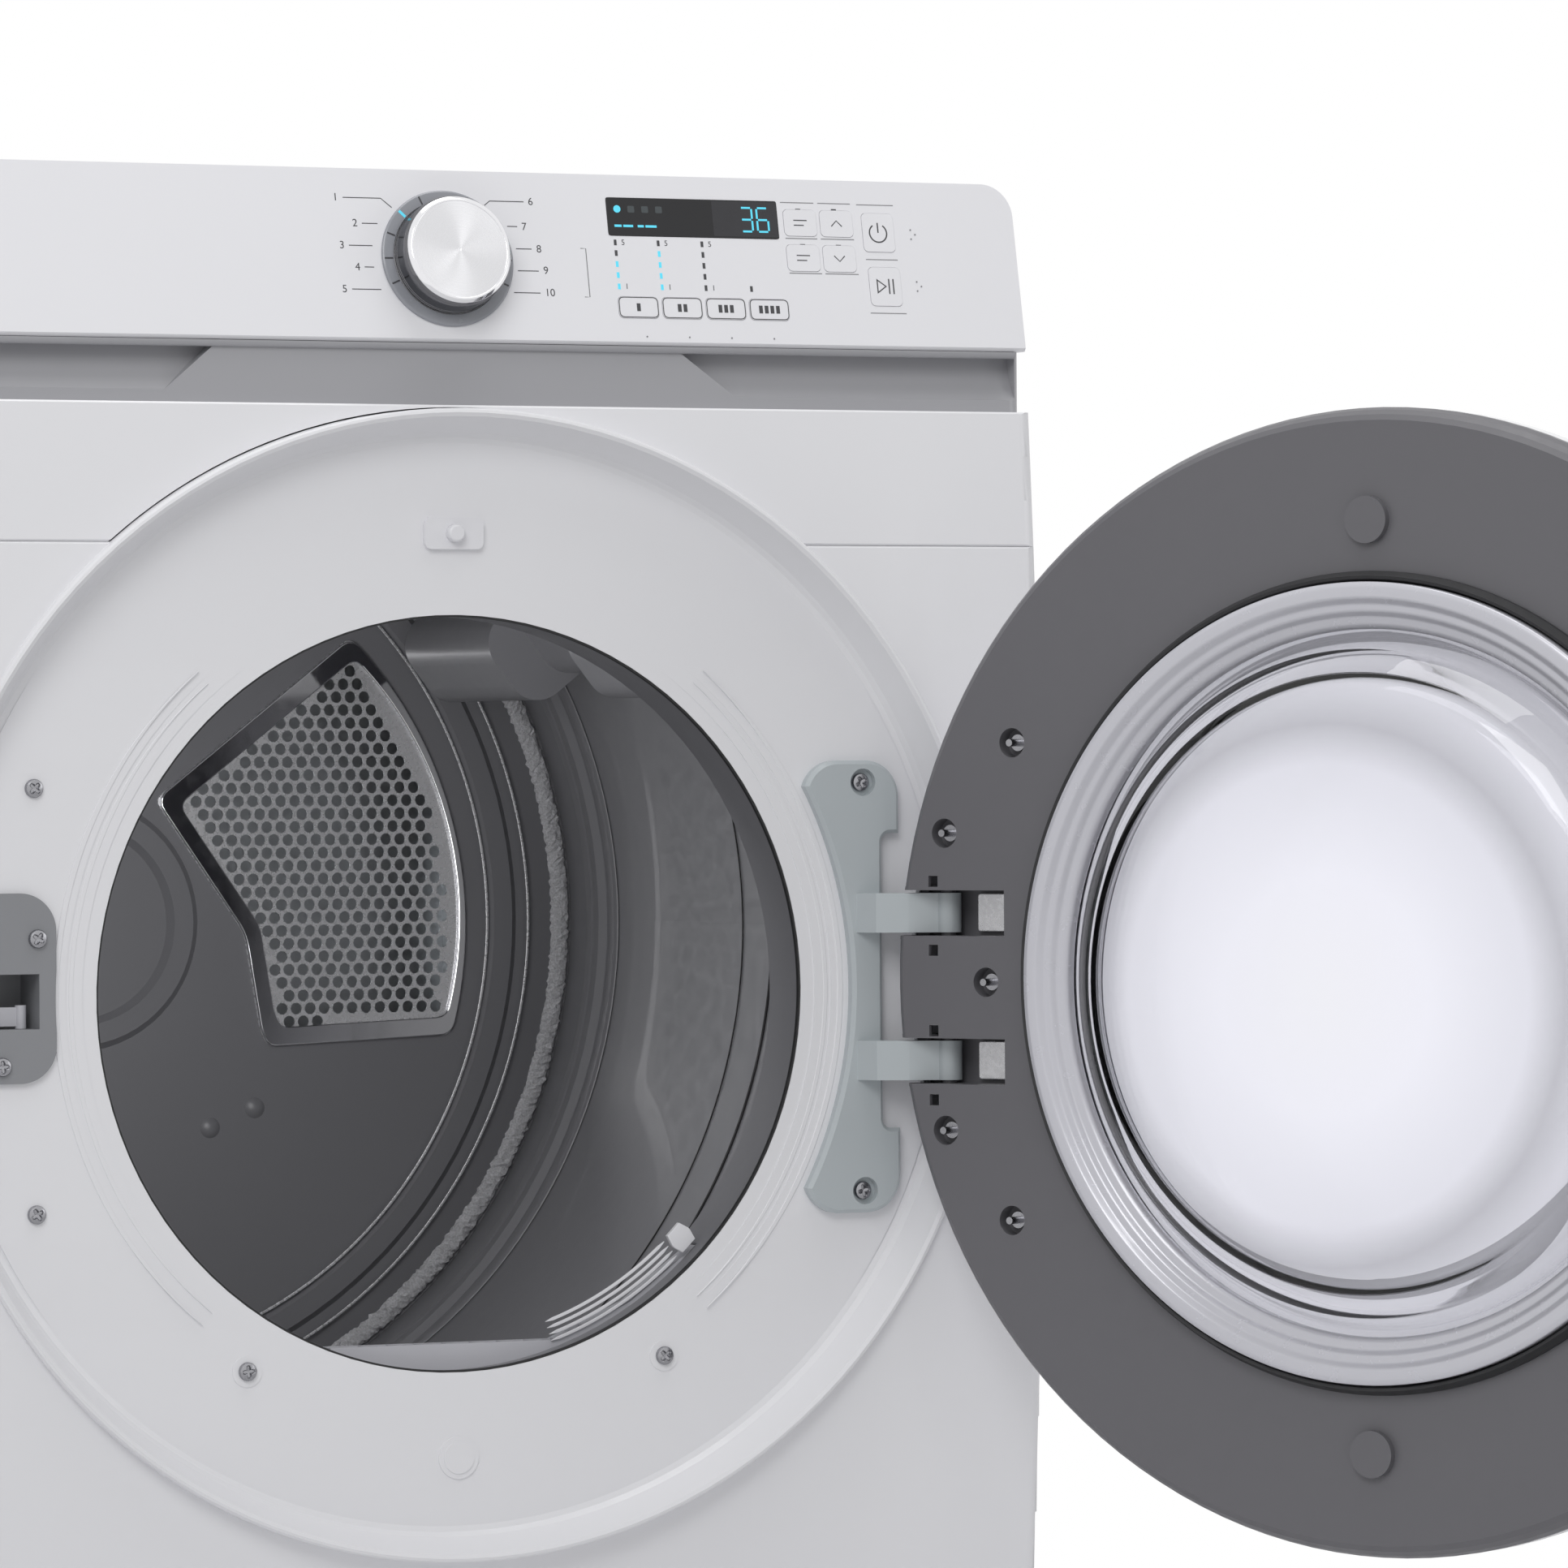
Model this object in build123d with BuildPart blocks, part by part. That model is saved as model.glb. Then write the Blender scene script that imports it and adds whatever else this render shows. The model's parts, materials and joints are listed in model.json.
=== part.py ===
from build123d import *
import math
import os

os.makedirs("parts", exist_ok=True)

# Cabinet envelope: +X right, front faces -Y, +Z up, origin on the floor under the middle of the cabinet
width = 686.0
depth = 710.0
height = 982.0
half = width / 2
rear_y = depth / 2
front_y = -depth / 2
base_z = 30.0
sheet = 1.2
skin = 1.5
barrel_r = 3600.0
panel_back = front_y + 55.0

# Door opening and the round recess it closes
opening_z = 538.0
opening_r = 203.6
recess_depth = 22.0
recess_r = 306.0
recess_floor_r = 294.0
boss_r = 309.0
floor_y = front_y + recess_depth
door_z = opening_z + 5.0
neck = 4.0
seam_z = opening_z + 241.5
seam_gap = 0.2
band_z = opening_z + 316.0
lip_z = opening_z + 350.0
pad = 1.2
pad_top = 127.0
pad_foot = 176.0

# Door, drawn closed in mm in front of the recess floor, then swung open about the hinge pins
hinge_x = 278.0
hinge_d = 32.5
door_swing = 121.5
door_r = 303.5
door_face = 14.0
arm_z = 40.4
arm_h = 21.5
pin_r = 4.0
slot_h = 25.0
ring_r = 211.4
seal_w = 5.6
glass_hole_r = ring_r + seal_w
bowl_tip = -17.0
wall = 2.5

# Control panel, leaning back from its lower lip
lean = 12.3
lip_back = 22.0
fascia_h = 96.0
fascia_t = 2.5
console_back = panel_back
dial_x = 2.0
dial_s = 46.5
dial_ring_r = 38.0
knob_r = 31.0
knob_h = 20.0
stem_r = 4.0
key_gap = 0.2
board_d = 12.4

# Drum, bulkheads and rollers
drum_z = opening_z + 28.0
drum_r = 318.0
drum_t = 1.2
bulk_y = panel_back
rear_bulk_y = floor_y + 620.0
lip_r = 250.0
felt_t = 3.0
running = 0.3
roller_r = 35.0
roller_w = 20.0
roller_angle = 35.0
axle_r = 6.0
shaft_gap = 0.05

# Drive, blower and ducts
motor_x = 150.0
motor_z = 130.0
motor_r = 62.0
shaft_r = 6.0
pulley_r = 22.0
belt_y = 151.0
belt_w = 12.0
belt_t = 2.0
idler_r = 18.0
duct_x = -40.0
duct_z = 102.0
duct_r = 50.8
duct_wall = 0.8
duct_out = 30.0
blower_r = 98.0
blower_front = front_y + 80.0
blower_back = front_y + 155.0

# Feet
foot_x = 300.0
foot_front = -290.0
foot_rear = 290.0
stud_r = 5.0

hinge_axis = Axis((hinge_x, floor_y - hinge_d, 0), (0, 0, 1))


def front(d=0.0, z=opening_z):
    return Plane(origin=(0, floor_y - d, z), x_dir=(1, 0, 0), z_dir=(0, -1, 0))


def panel(off=0.0):
    a = math.radians(lean)
    n = (0, -math.cos(a), math.sin(a))
    base = (0, front_y + lip_back + off * n[1], lip_z + off * n[2])
    return Plane(origin=base, x_dir=(1, 0, 0), z_dir=n)


def block(x0, x1, y0, y1, z0, z1, mode=Mode.ADD):
    with Locations(((x0 + x1) / 2, (y0 + y1) / 2, (z0 + z1) / 2)):
        Box(x1 - x0, y1 - y0, z1 - z0, mode=mode)


def rod_y(x, z, r, y0, y1, mode=Mode.ADD):
    with Locations(Location((x, (y0 + y1) / 2, z), (90, 0, 0))):
        Cylinder(r, y1 - y0, mode=mode)


def rod_z(x, y, r, z0, z1, mode=Mode.ADD):
    with Locations((x, y, (z0 + z1) / 2)):
        Cylinder(r, z1 - z0, mode=mode)


def turn(points, x, z, mode=Mode.ADD):
    with BuildSketch(Plane.XY.offset(z)) as outline:
        with BuildLine():
            Polyline(*[(x + r, y) for r, y in points], close=True)
        make_face()
    revolve(outline.sketch, axis=Axis((x, 0, z), (0, 1, 0)), mode=mode)


def turn_d(points, mode=Mode.ADD):
    turn([(r, floor_y - d) for r, d in points], 0, door_z, mode)


def bowed(z):
    return barrel_r - math.sqrt(barrel_r ** 2 - (z - opening_z) ** 2)


def bowed_shell(z0, z1, edge=1.0):
    mid = (z0 + z1) / 2
    with BuildSketch(Plane.YZ) as outline:
        with BuildLine():
            low = (front_y + bowed(z0 + edge), z0 + edge)
            high = (front_y + bowed(z1 - edge), z1 - edge)
            ThreePointArc(low, (front_y + bowed(mid), mid), high)
            Polyline(high, (high[0] + edge, z1), (panel_back, z1), (panel_back, z0), (low[0] + edge, z0), low)
        make_face()
    extrude(outline.sketch, amount=half, both=True)
    fillet(edges().filter_by(GeomType.CIRCLE), 8.0)
    offset(amount=-skin, openings=faces().sort_by(Axis.Y)[-1])


def swing(part):
    return part.rotate(hinge_axis, door_swing)


def screw(x, z, seat, shank=9.0, head=5.0):
    rod_y(x, z, head, floor_y - seat - 3.0, floor_y - seat)
    rod_y(x, z, 2.0, floor_y - seat, floor_y - seat + shank)


plate_t = 7.0
socket_t = 2.5
hinge_seat = pad + plate_t
hinge_screws = [(238.0, opening_z + 112.0), (238.0, opening_z - 112.0)]
latch_t = 3.0
latch_screws = [(-237.5, opening_z + 33.0), (-257.5, opening_z - 34.0)]
blank_screws = [(-238.0, opening_z + 112.0), (-238.0, opening_z - 112.0)]
low_screws = [(x, opening_z - 198.7) for x in (-120.5, 120.5)]
latch_x = -251.0
latch_w = 29.0
switch_z = opening_z + (opening_r + recess_floor_r) / 2 - 1.5
boss_t = 0.6

# ---------------------------------------------------------------- cabinet
with BuildPart() as base_frame:
    block(-half + sheet, half - sheet, panel_back - 12, rear_y - 2 * sheet, base_z, base_z + 2)
    for s in (-1, 1):
        x0 = s * (half - sheet) if s < 0 else half - sheet - skin
        block(x0, x0 + skin, panel_back, rear_y - 2 * sheet, base_z, base_z + 42)
    block(-half + sheet, half - sheet, rear_y - 2 * sheet - skin, rear_y - 2 * sheet, base_z, base_z + 16)
    for x in (-foot_x, foot_x):
        for y in (foot_front, foot_rear):
            rod_z(x, y, 15, base_z - 6, base_z + 2)
            rod_z(x, y, stud_r + shaft_gap, base_z - 7, base_z + 3, Mode.SUBTRACT)
base_frame.part.label = "base_frame"
export_step(base_frame.part, "parts/base_frame.step")

side_top = height - 17.0
for s, name in ((-1, "left_side_panel"), (1, "right_side_panel")):
    with BuildPart() as side_panel:
        xs = sorted((s * half, s * (half - sheet)))
        xf = sorted((s * half, s * (half - 18)))
        block(xs[0], xs[1], panel_back, rear_y, base_z, side_top)
        block(xf[0], xf[1], rear_y - sheet, rear_y, base_z, side_top)
        block(xf[0], xf[1], panel_back, rear_y, side_top - sheet, side_top)
    side_panel.part.label = name
    export_step(side_panel.part, "parts/" + name + ".step")

term_x = -240.0
term_z = 730.0
with BuildPart() as rear_panel:
    block(-half + sheet, half - sheet, rear_y - 2 * sheet, rear_y - sheet, base_z, side_top - sheet)
    rod_y(duct_x, duct_z, duct_r + running, rear_y - 9, rear_y + 9, Mode.SUBTRACT)
    block(term_x - 25, term_x + 25, rear_y - 9, rear_y + 9, term_z - 18, term_z + 18, Mode.SUBTRACT)
    for i in range(6):
        for x in (100, 200):
            z = 240 + 22 * i
            block(x - 30, x + 30, rear_y - 9, rear_y + 9, z, z + 8, Mode.SUBTRACT)
rear_panel.part.label = "rear_panel"
export_step(rear_panel.part, "parts/rear_panel.step")

with BuildPart() as top_cover:
    block(-half, half, console_back, rear_y, side_top, height)
    fillet(edges().filter_by(Axis.Y).sort_by(Axis.Z)[-2:], 15.0)
    offset(amount=-sheet, openings=faces().sort_by(Axis.Z)[0])
top_cover.part.label = "top_cover"
export_step(top_cover.part, "parts/top_cover.step")

pads = []
for inner_r, rise in ((opening_r + 8, pad / 2), (opening_r + 17.5, pad)):
    with BuildPart() as raised_pads:
        with BuildSketch(Plane.YZ):
            with BuildLine():
                upper = [(floor_y - rise, opening_z + pad_top), (floor_y, opening_z + pad_foot)]
                back = [(floor_y + 1, opening_z + pad_foot), (floor_y + 1, opening_z - pad_foot)]
                lower = [(floor_y, opening_z - pad_foot), (floor_y - rise, opening_z - pad_top)]
                Polyline(*upper, *back, *lower, close=True)
            make_face()
        extrude(amount=recess_floor_r, both=True)
        with BuildSketch(front(-2)):
            with Locations((0, door_z - opening_z)):
                Circle(recess_floor_r - 4)
            Circle(inner_r, mode=Mode.SUBTRACT)
        extrude(amount=9, mode=Mode.INTERSECT)
    pads.append(raised_pads.part)

with BuildPart() as front_panel:
    bowed_shell(base_z + 2, seam_z)
    rod_y(0, door_z, recess_r + 0.3, front_y - 50, floor_y, Mode.SUBTRACT)
    turn_d([
        (boss_r, 6), (boss_r, 20.6), (boss_r - 1, 22.2), (recess_r + 0.6, 22.6), (recess_r - 1.5, 21.5),
        (recess_floor_r + 2.5, 4), (recess_floor_r, 1), (recess_floor_r - 3, 0),
        (opening_r + 6, 0), (opening_r + 6, -skin), (recess_floor_r + 1, -skin), (recess_r + 1.5, 6),
    ])
    turn([
        (opening_r, floor_y), (opening_r + 16, floor_y), (opening_r + 16, floor_y + skin),
        (opening_r + skin, floor_y + skin), (opening_r + skin, floor_y + neck), (opening_r, floor_y + neck),
    ], 0, opening_z)
    rod_y(0, opening_z, opening_r, front_y - 50, panel_back + 1, Mode.SUBTRACT)
    for raised in pads:
        add(raised)
    for x, z in low_screws:
        rod_y(x, z, 8.4, floor_y - boss_t, floor_y)
    rod_y(0, 2 * opening_z - switch_z - 2, 11.5, floor_y - 0.8, floor_y)
    rod_y(0, 2 * opening_z - switch_z - 2, 8.7, floor_y - 1.4, floor_y)
    for x, z in hinge_screws + latch_screws + blank_screws + low_screws:
        rod_y(x, z, 2.1, floor_y - 9, floor_y + 9, Mode.SUBTRACT)
    block(latch_x - 17, latch_x + 17, floor_y - 9, floor_y + 9, opening_z - 17, opening_z + 17, Mode.SUBTRACT)
    block(-9, 9, floor_y - 9, floor_y + 20, switch_z - 7, switch_z + 7, Mode.SUBTRACT)
front_panel.part.label = "front_panel"
export_step(front_panel.part, "parts/front_panel.step")

with BuildPart() as upper_front_panel:
    bowed_shell(seam_z + seam_gap, band_z)
    rod_y(0, door_z, boss_r + 0.8, front_y - 50, panel_back + 9, Mode.SUBTRACT)
upper_front_panel.part.label = "upper_front_panel"
export_step(upper_front_panel.part, "parts/upper_front_panel.step")

band_front = front_y + 26.0
with BuildPart() as scoop:
    with BuildSketch(Plane.YZ):
        with BuildLine():
            a = (band_front - 5, band_z + 3)
            b = (band_front + 11, lip_z + 1)
            ThreePointArc(a, (band_front + 5, band_z + 13), b)
            Polyline(b, (band_front - 5, lip_z + 1), a)
        make_face()
    extrude(amount=half - 5, both=True)
    with BuildSketch(Plane.XZ):
        with BuildLine():
            Polyline((-128, lip_z + 2), (128, lip_z + 2), (178, band_z), (-170, band_z), close=True)
        make_face()
    extrude(amount=500, both=True, mode=Mode.SUBTRACT)
with BuildPart() as console_trim_band:
    block(-half + 1, half - 1, band_front, band_front + 20, band_z, lip_z)
    fillet(edges().filter_by(Axis.Z).sort_by(Axis.Y)[:2], 8.0)
    add(scoop.part, mode=Mode.SUBTRACT)
console_trim_band.part.label = "console_trim_band"
export_step(console_trim_band.part, "parts/console_trim_band.step")

# ---------------------------------------------------------------- control panel
option_keys = [(111.6 + 25.9 * i, 21.4, 23.6, 12.0) for i in range(4)]
small_keys = [(x, s, 19.6, 15.0) for s in (71.2, 51.2) for x in (212.8, 234.6)]
power_key = (259.6, 66.6, 19.0, 22.0)
start_key = (260.8, 35.8, 19.0, 22.0)
names = ["temperature_key", "dry_level_key", "time_dry_key", "more_time_key"]
names += ["signal_key", "wrinkle_key", "damp_key", "custom_key", "power_key", "start_key"]
keys = list(zip(names, option_keys + small_keys + [power_key, start_key]))
win = (148.6, 72.4, 101.4, 21.4)
rise = fascia_h * math.cos(math.radians(lean))
run = fascia_h * math.sin(math.radians(lean))
post_spots = [(-60, 14), (-60, 80), (70, 14), (70, 88), (290, 14), (290, 80)]

with BuildPart() as control_fascia:
    with BuildSketch(Plane.YZ):
        with BuildLine():
            lip = (front_y + lip_back, lip_z)
            top = (front_y + lip_back + run, lip_z + rise)
            start = (lip[0] + 2 * math.tan(math.radians(lean)), lip_z + 2)
            back = [(console_back, top[1]), (console_back, lip_z), (lip[0] + 2, lip_z)]
            Polyline(start, top, *back, close=True)
        make_face()
    extrude(amount=half, both=True)
    fillet(edges().filter_by(Axis.Y).sort_by(Axis.Z)[-2:], 18.0)
    offset(amount=-fascia_t, openings=faces().sort_by(Axis.Y)[-1])
    with BuildSketch(panel(1)):
        for _, (x, s, w, h) in keys:
            with Locations((x, s)):
                RectangleRounded(w + 2 * key_gap, h + 2 * key_gap, 3.0)
        with Locations(win[:2]):
            RectangleRounded(win[2] + 2 * key_gap, win[3] + 2 * key_gap, 2.0)
        with Locations((dial_x, dial_s)):
            Circle(stem_r + shaft_gap)
    extrude(amount=-6, mode=Mode.SUBTRACT)
    with BuildSketch(panel(-fascia_t)):
        with Locations(post_spots):
            Circle(3)
    extrude(amount=fascia_t - board_d)
control_fascia.part.label = "control_fascia"
export_step(control_fascia.part, "parts/control_fascia.step")

for name, (x, s, w, h) in keys:
    with BuildPart() as key:
        with BuildSketch(panel(-fascia_t)):
            with Locations((x, s)):
                RectangleRounded(w, h, 2.8)
        extrude(amount=fascia_t + 0.3)
        with BuildSketch(panel(-fascia_t)):
            with Locations((x, s)):
                Rectangle(w + 1.6, h + 1.6)
        extrude(amount=-1.2)
        with BuildSketch(panel(-fascia_t - 1.2)):
            with Locations((x, s)):
                Circle(2.5)
        extrude(amount=-4)
    key.part.label = name
    export_step(key.part, "parts/" + name + ".step")

with BuildPart() as display_window:
    with BuildSketch(panel(-fascia_t)):
        with Locations(win[:2]):
            RectangleRounded(win[2], win[3], 1.8)
    extrude(amount=fascia_t + 0.1)
    with BuildSketch(panel(-fascia_t)):
        with Locations(win[:2]):
            Rectangle(win[2] + 3, win[3] + 3)
    extrude(amount=-1.5)
display_window.part.label = "display_window"
export_step(display_window.part, "parts/display_window.step")

with BuildPart() as dial_ring:
    with BuildSketch(panel(0)):
        with Locations((dial_x, dial_s)):
            Circle(dial_ring_r)
            Circle(knob_r + 1.0, mode=Mode.SUBTRACT)
    extrude(amount=2.0)
dial_ring.part.label = "dial_ring"
export_step(dial_ring.part, "parts/dial_ring.step")

with BuildPart() as dial_knob:
    with BuildSketch(panel(running)):
        with Locations((dial_x, dial_s)):
            Circle(knob_r)
    extrude(amount=knob_h - running)
    fillet(edges().group_by(Axis.Y)[0], 0.8)
    with BuildSketch(panel(running)):
        with Locations((dial_x, dial_s)):
            Circle(stem_r)
    extrude(amount=-board_d + 2)
dial_knob.part.label = "dial_knob"
export_step(dial_knob.part, "parts/dial_knob.step")

with BuildPart() as control_board:
    with BuildSketch(panel(-board_d)):
        with Locations((115, 49)):
            Rectangle(366, 82)
    extrude(amount=-1.6)
    with BuildSketch(panel(-board_d)):
        with Locations((dial_x, dial_s)):
            Circle(9)
            Circle(stem_r + shaft_gap, mode=Mode.SUBTRACT)
    extrude(amount=5)
    with BuildSketch(panel(-board_d)):
        for x in (165, 220):
            with Locations((x, 36)):
                Rectangle(14, 14)
    extrude(amount=2)
    with BuildSketch(panel(-board_d - 1.6)):
        with Locations((-30, 60), (20, 25), (90, 55)):
            Rectangle(30, 22)
    extrude(amount=-12)
control_board.part.label = "control_board"
export_step(control_board.part, "parts/control_board.step")

# ---------------------------------------------------------------- door hardware on the cabinet
with BuildPart() as hinge_plate:
    with BuildSketch(front(pad)):
        with Locations((231.5, 0)):
            RectangleRounded(57, 248, 20)
        Circle(opening_r + 28, mode=Mode.SUBTRACT)
        with Locations((261, 3)):
            RectangleRounded(23, 162, 5, mode=Mode.SUBTRACT)
    extrude(amount=plate_t)
    chamfer(faces().sort_by(Axis.Y)[0].outer_wire().edges(), 2.0)
    for sgn in (-1, 1):
        z = opening_z + sgn * arm_z
        with BuildSketch(Plane.XY.offset(z - arm_h / 2)):
            with BuildLine():
                path = [(233, hinge_seat - 1), (246, hinge_seat - 1), (258.5, 14.5), (281, 27)]
                path += [(275, 35), (256, 28), (240, 20)]
                Polyline(*[(x, floor_y - d) for x, d in path], close=True)
            make_face()
            with Locations((hinge_x, floor_y - hinge_d)):
                Circle(7)
        extrude(amount=arm_h)
        rod_z(hinge_x, floor_y - hinge_d, pin_r + shaft_gap, z - 20, z + 20, Mode.SUBTRACT)
    for x, z in hinge_screws:
        rod_y(x, z, 7.5, floor_y - 20, floor_y - pad - socket_t, Mode.SUBTRACT)
        rod_y(x, z, 2.1, floor_y - 20, floor_y, Mode.SUBTRACT)
hinge_plate.part.label = "hinge_plate"
export_step(hinge_plate.part, "parts/hinge_plate.step")

cup_d = 28.0
with BuildPart() as latch_plate:
    with BuildSketch(front(pad)):
        with Locations((-257, 7)):
            RectangleRounded(60, 100, 20)
        Circle(opening_r + 24, mode=Mode.SUBTRACT)
    extrude(amount=latch_t)
    x0 = latch_x - latch_w / 2
    x1 = latch_x + latch_w / 2
    block(x0 - 1.5, x1 + 1.5, floor_y - pad, floor_y + cup_d, opening_z - 16, opening_z + 16)
    block(x0, x1, floor_y - 20, floor_y + cup_d - 1.5, opening_z - 14.5, opening_z + 14.5, Mode.SUBTRACT)
    rod_z(latch_x + 8, floor_y + 8, 1.5, opening_z - 14.5, opening_z - 12)
    for x, z in latch_screws:
        rod_y(x, z, 2.1, floor_y - 20, floor_y + 5, Mode.SUBTRACT)
latch_plate.part.label = "latch_plate"
export_step(latch_plate.part, "parts/latch_plate.step")

with BuildPart() as latch_lever:
    rod_z(latch_x + 8, floor_y + 8, 3.0, opening_z - 14.3, opening_z - 2)
    block(latch_x - 6, latch_x + 8, floor_y + 6.8, floor_y + 9.2, opening_z - 13, opening_z - 3)
    rod_z(latch_x + 8, floor_y + 8, 1.5 + shaft_gap, opening_z - 15, opening_z - 12 + running, Mode.SUBTRACT)
latch_lever.part.label = "latch_lever"
export_step(latch_lever.part, "parts/latch_lever.step")

plunger_r = 4.8
with BuildPart() as door_switch:
    with BuildSketch(front(0, switch_z)):
        RectangleRounded(34, 17, 4)
    extrude(amount=3)
    block(-8.7, 8.7, floor_y - 1, floor_y + 16, switch_z - 6.7, switch_z + 6.7)
    rod_y(0, switch_z, plunger_r + shaft_gap, floor_y - 9, floor_y + 14, Mode.SUBTRACT)
door_switch.part.label = "door_switch"
export_step(door_switch.part, "parts/door_switch.step")

with BuildPart() as door_switch_plunger:
    rod_y(0, switch_z, plunger_r, floor_y - 8, floor_y + 8)
    fillet(edges().group_by(Axis.Y)[0], 1.5)
door_switch_plunger.part.label = "door_switch_plunger"
export_step(door_switch_plunger.part, "parts/door_switch_plunger.step")

with BuildPart() as cabinet_screws:
    for x, z in hinge_screws:
        screw(x, z, pad + socket_t, shank=12.0)
    for x, z in latch_screws:
        screw(x, z, pad + latch_t, shank=12.0)
    for x, z in blank_screws:
        screw(x, z, pad)
    for x, z in low_screws:
        screw(x, z, boss_t)
cabinet_screws.part.label = "cabinet_screws"
export_step(cabinet_screws.part, "parts/cabinet_screws.step")

# ---------------------------------------------------------------- door
door_wells = [(224.3, 128.0), (268.5, 79.0), (242.0, -2.0), (268.5, -83.0), (226.0, -131.0)]
post_ends = [58.0, 51.5, 61.0, 51.0, 57.0]
door_wells += [(-x, z) for x, z in door_wells]
post_ends += post_ends
well_r = 8.0
well_depth = 9.0
with BuildPart() as inner_closed:
    for sgn in (-1, 1):
        z = opening_z + sgn * arm_z
        h = slot_h / 2 + 2
        block(228, 288, floor_y - 43, floor_y - door_face, z - h, z + h)
        block(288, 293, floor_y - 38.9, floor_y - door_face - 4, z - h, z + h)
        block(293, 302, floor_y - 36, floor_y - door_face - 4, z - h, z + h)
    rod_y(0, door_z, door_r - wall - 0.1, floor_y - 50, floor_y, Mode.INTERSECT)
    turn_d([
        (glass_hole_r, door_face), (296.5, door_face), (299.5, door_face + 2.2), (302, door_face + 6),
        (door_r, door_face + 10), (door_r, door_face + 14), (door_r - wall, door_face + 14),
        (door_r - wall, door_face + 10), (299, door_face + 6.5), (295.5, door_face + wall),
        (glass_hole_r + wall, door_face + wall), (glass_hole_r + wall, door_face + 14),
        (190, door_face + 14), (190, door_face + 11.5), (glass_hole_r, door_face + 11.5),
    ])
    for x, z in door_wells:
        rod_y(x, door_z + z, well_r + 2, floor_y - door_face - well_depth - 2, floor_y - door_face)
    for x, z in door_wells:
        rod_y(x, door_z + z, well_r, floor_y - door_face - well_depth, floor_y, Mode.SUBTRACT)
        rod_y(x, door_z + z, 2.1, floor_y - 60, floor_y, Mode.SUBTRACT)
    for sgn in (-1, 1):
        z = opening_z + sgn * arm_z
        h = slot_h / 2
        block(230, 286, floor_y - 41, floor_y, z - h, z + h, Mode.SUBTRACT)
        block(280, 291.5, floor_y - 36.9, floor_y, z - h, z + h, Mode.SUBTRACT)
        block(280, 310, floor_y - 34, floor_y, z - h, z + h, Mode.SUBTRACT)
        rod_z(hinge_x, floor_y - hinge_d, pin_r, z - h - 1, z + h + 1)
    with BuildSketch(front(door_face)):
        with Locations((0, 249), (0, -243)):
            Circle(12.5)
    extrude(amount=-4)
    for dz in (57.7, 20.1, -23.8, -61.5):
        block(273, 279, floor_y - 60, floor_y, opening_z + dz - 3, opening_z + dz + 3, Mode.SUBTRACT)
with BuildPart() as door_inner_panel:
    add(swing(inner_closed.part))
door_inner_panel.part.label = "door_inner_panel"
export_step(door_inner_panel.part, "parts/door_inner_panel.step")

with BuildPart() as cover_closed:
    turn_d([
        (door_r, door_face + 14), (door_r, 39), (298, 44.5), (291.5, 49.5), (283, 53), (268, 57), (255, 61),
        (222, 66), (205, 67), (205, 64.5), (222, 63.5), (254, 58.5), (267, 54.5), (282, 50.5), (290, 47.3),
        (296, 42.6), (301, 37.5), (301, door_face + 14),
    ])
    for (x, z), end in zip(door_wells, post_ends):
        rod_y(x, door_z + z, 5, floor_y - end, floor_y - door_face - well_depth - 2)
        rod_y(x, door_z + z, 2.1, floor_y - 40, floor_y, Mode.SUBTRACT)
    for sgn in (-1, 1):
        z = opening_z + sgn * arm_z
        block(285, 310, floor_y - 33, floor_y, z - slot_h / 2, z + slot_h / 2, Mode.SUBTRACT)
with BuildPart() as door_outer_cover:
    add(swing(cover_closed.part))
door_outer_cover.part.label = "door_outer_cover"
export_step(door_outer_cover.part, "parts/door_outer_cover.step")

with BuildPart() as window_closed:
    turn_d([
        (0, 75), (100, 73), (170, 69), (204.8, 66), (204.8, 64.5), (215, 63.6), (215, 60.5),
        (170, 65), (100, 69.5), (0, 71.5),
    ])
with BuildPart() as door_outer_window:
    add(swing(window_closed.part))
door_outer_window.part.label = "door_outer_window"
export_step(door_outer_window.part, "parts/door_outer_window.step")

with BuildPart() as bowl_closed:
    turn_d([
        (208, door_face + 7.5), (208, door_face + 11.5), (180, door_face + 11.5), (172, door_face + 6),
        (158, -8), (140, -12.5), (100, -14.5), (0, -15),
        (0, bowl_tip - 2), (100, bowl_tip - 1.5), (142, bowl_tip),
        (161, -12), (176, 3), (184, door_face + 5), (190, door_face + 7.5),
    ])
with BuildPart() as door_glass_bowl:
    add(swing(bowl_closed.part))
door_glass_bowl.part.label = "door_glass_bowl"
export_step(door_glass_bowl.part, "parts/door_glass_bowl.step")

with BuildPart() as retainer_closed:
    turn_d([
        (ring_r, door_face + 11.5), (ring_r, 3.5), (209, 2.5), (203, 2.5), (200, 5), (196, 5.5),
        (193, 8.5), (188, 10),
        (186, 13), (187, door_face + 3), (194, door_face + 5), (194, door_face + 7.5), (208, door_face + 7.5),
        (208, door_face + 11.5),
    ])
with BuildPart() as glass_retaining_ring:
    add(swing(retainer_closed.part))
glass_retaining_ring.part.label = "glass_retaining_ring"
export_step(glass_retaining_ring.part, "parts/glass_retaining_ring.step")

with BuildPart() as seal_closed:
    turn_d([
        (ring_r, 12), (ring_r + 1.4, 6.5), (ring_r + 3, 6), (ring_r + seal_w, 11),
        (ring_r + seal_w, door_face + 11.5),
        (ring_r, door_face + 11.5),
    ])
with BuildPart() as door_seal:
    add(swing(seal_closed.part))
door_seal.part.label = "door_seal"
export_step(door_seal.part, "parts/door_seal.step")

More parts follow.
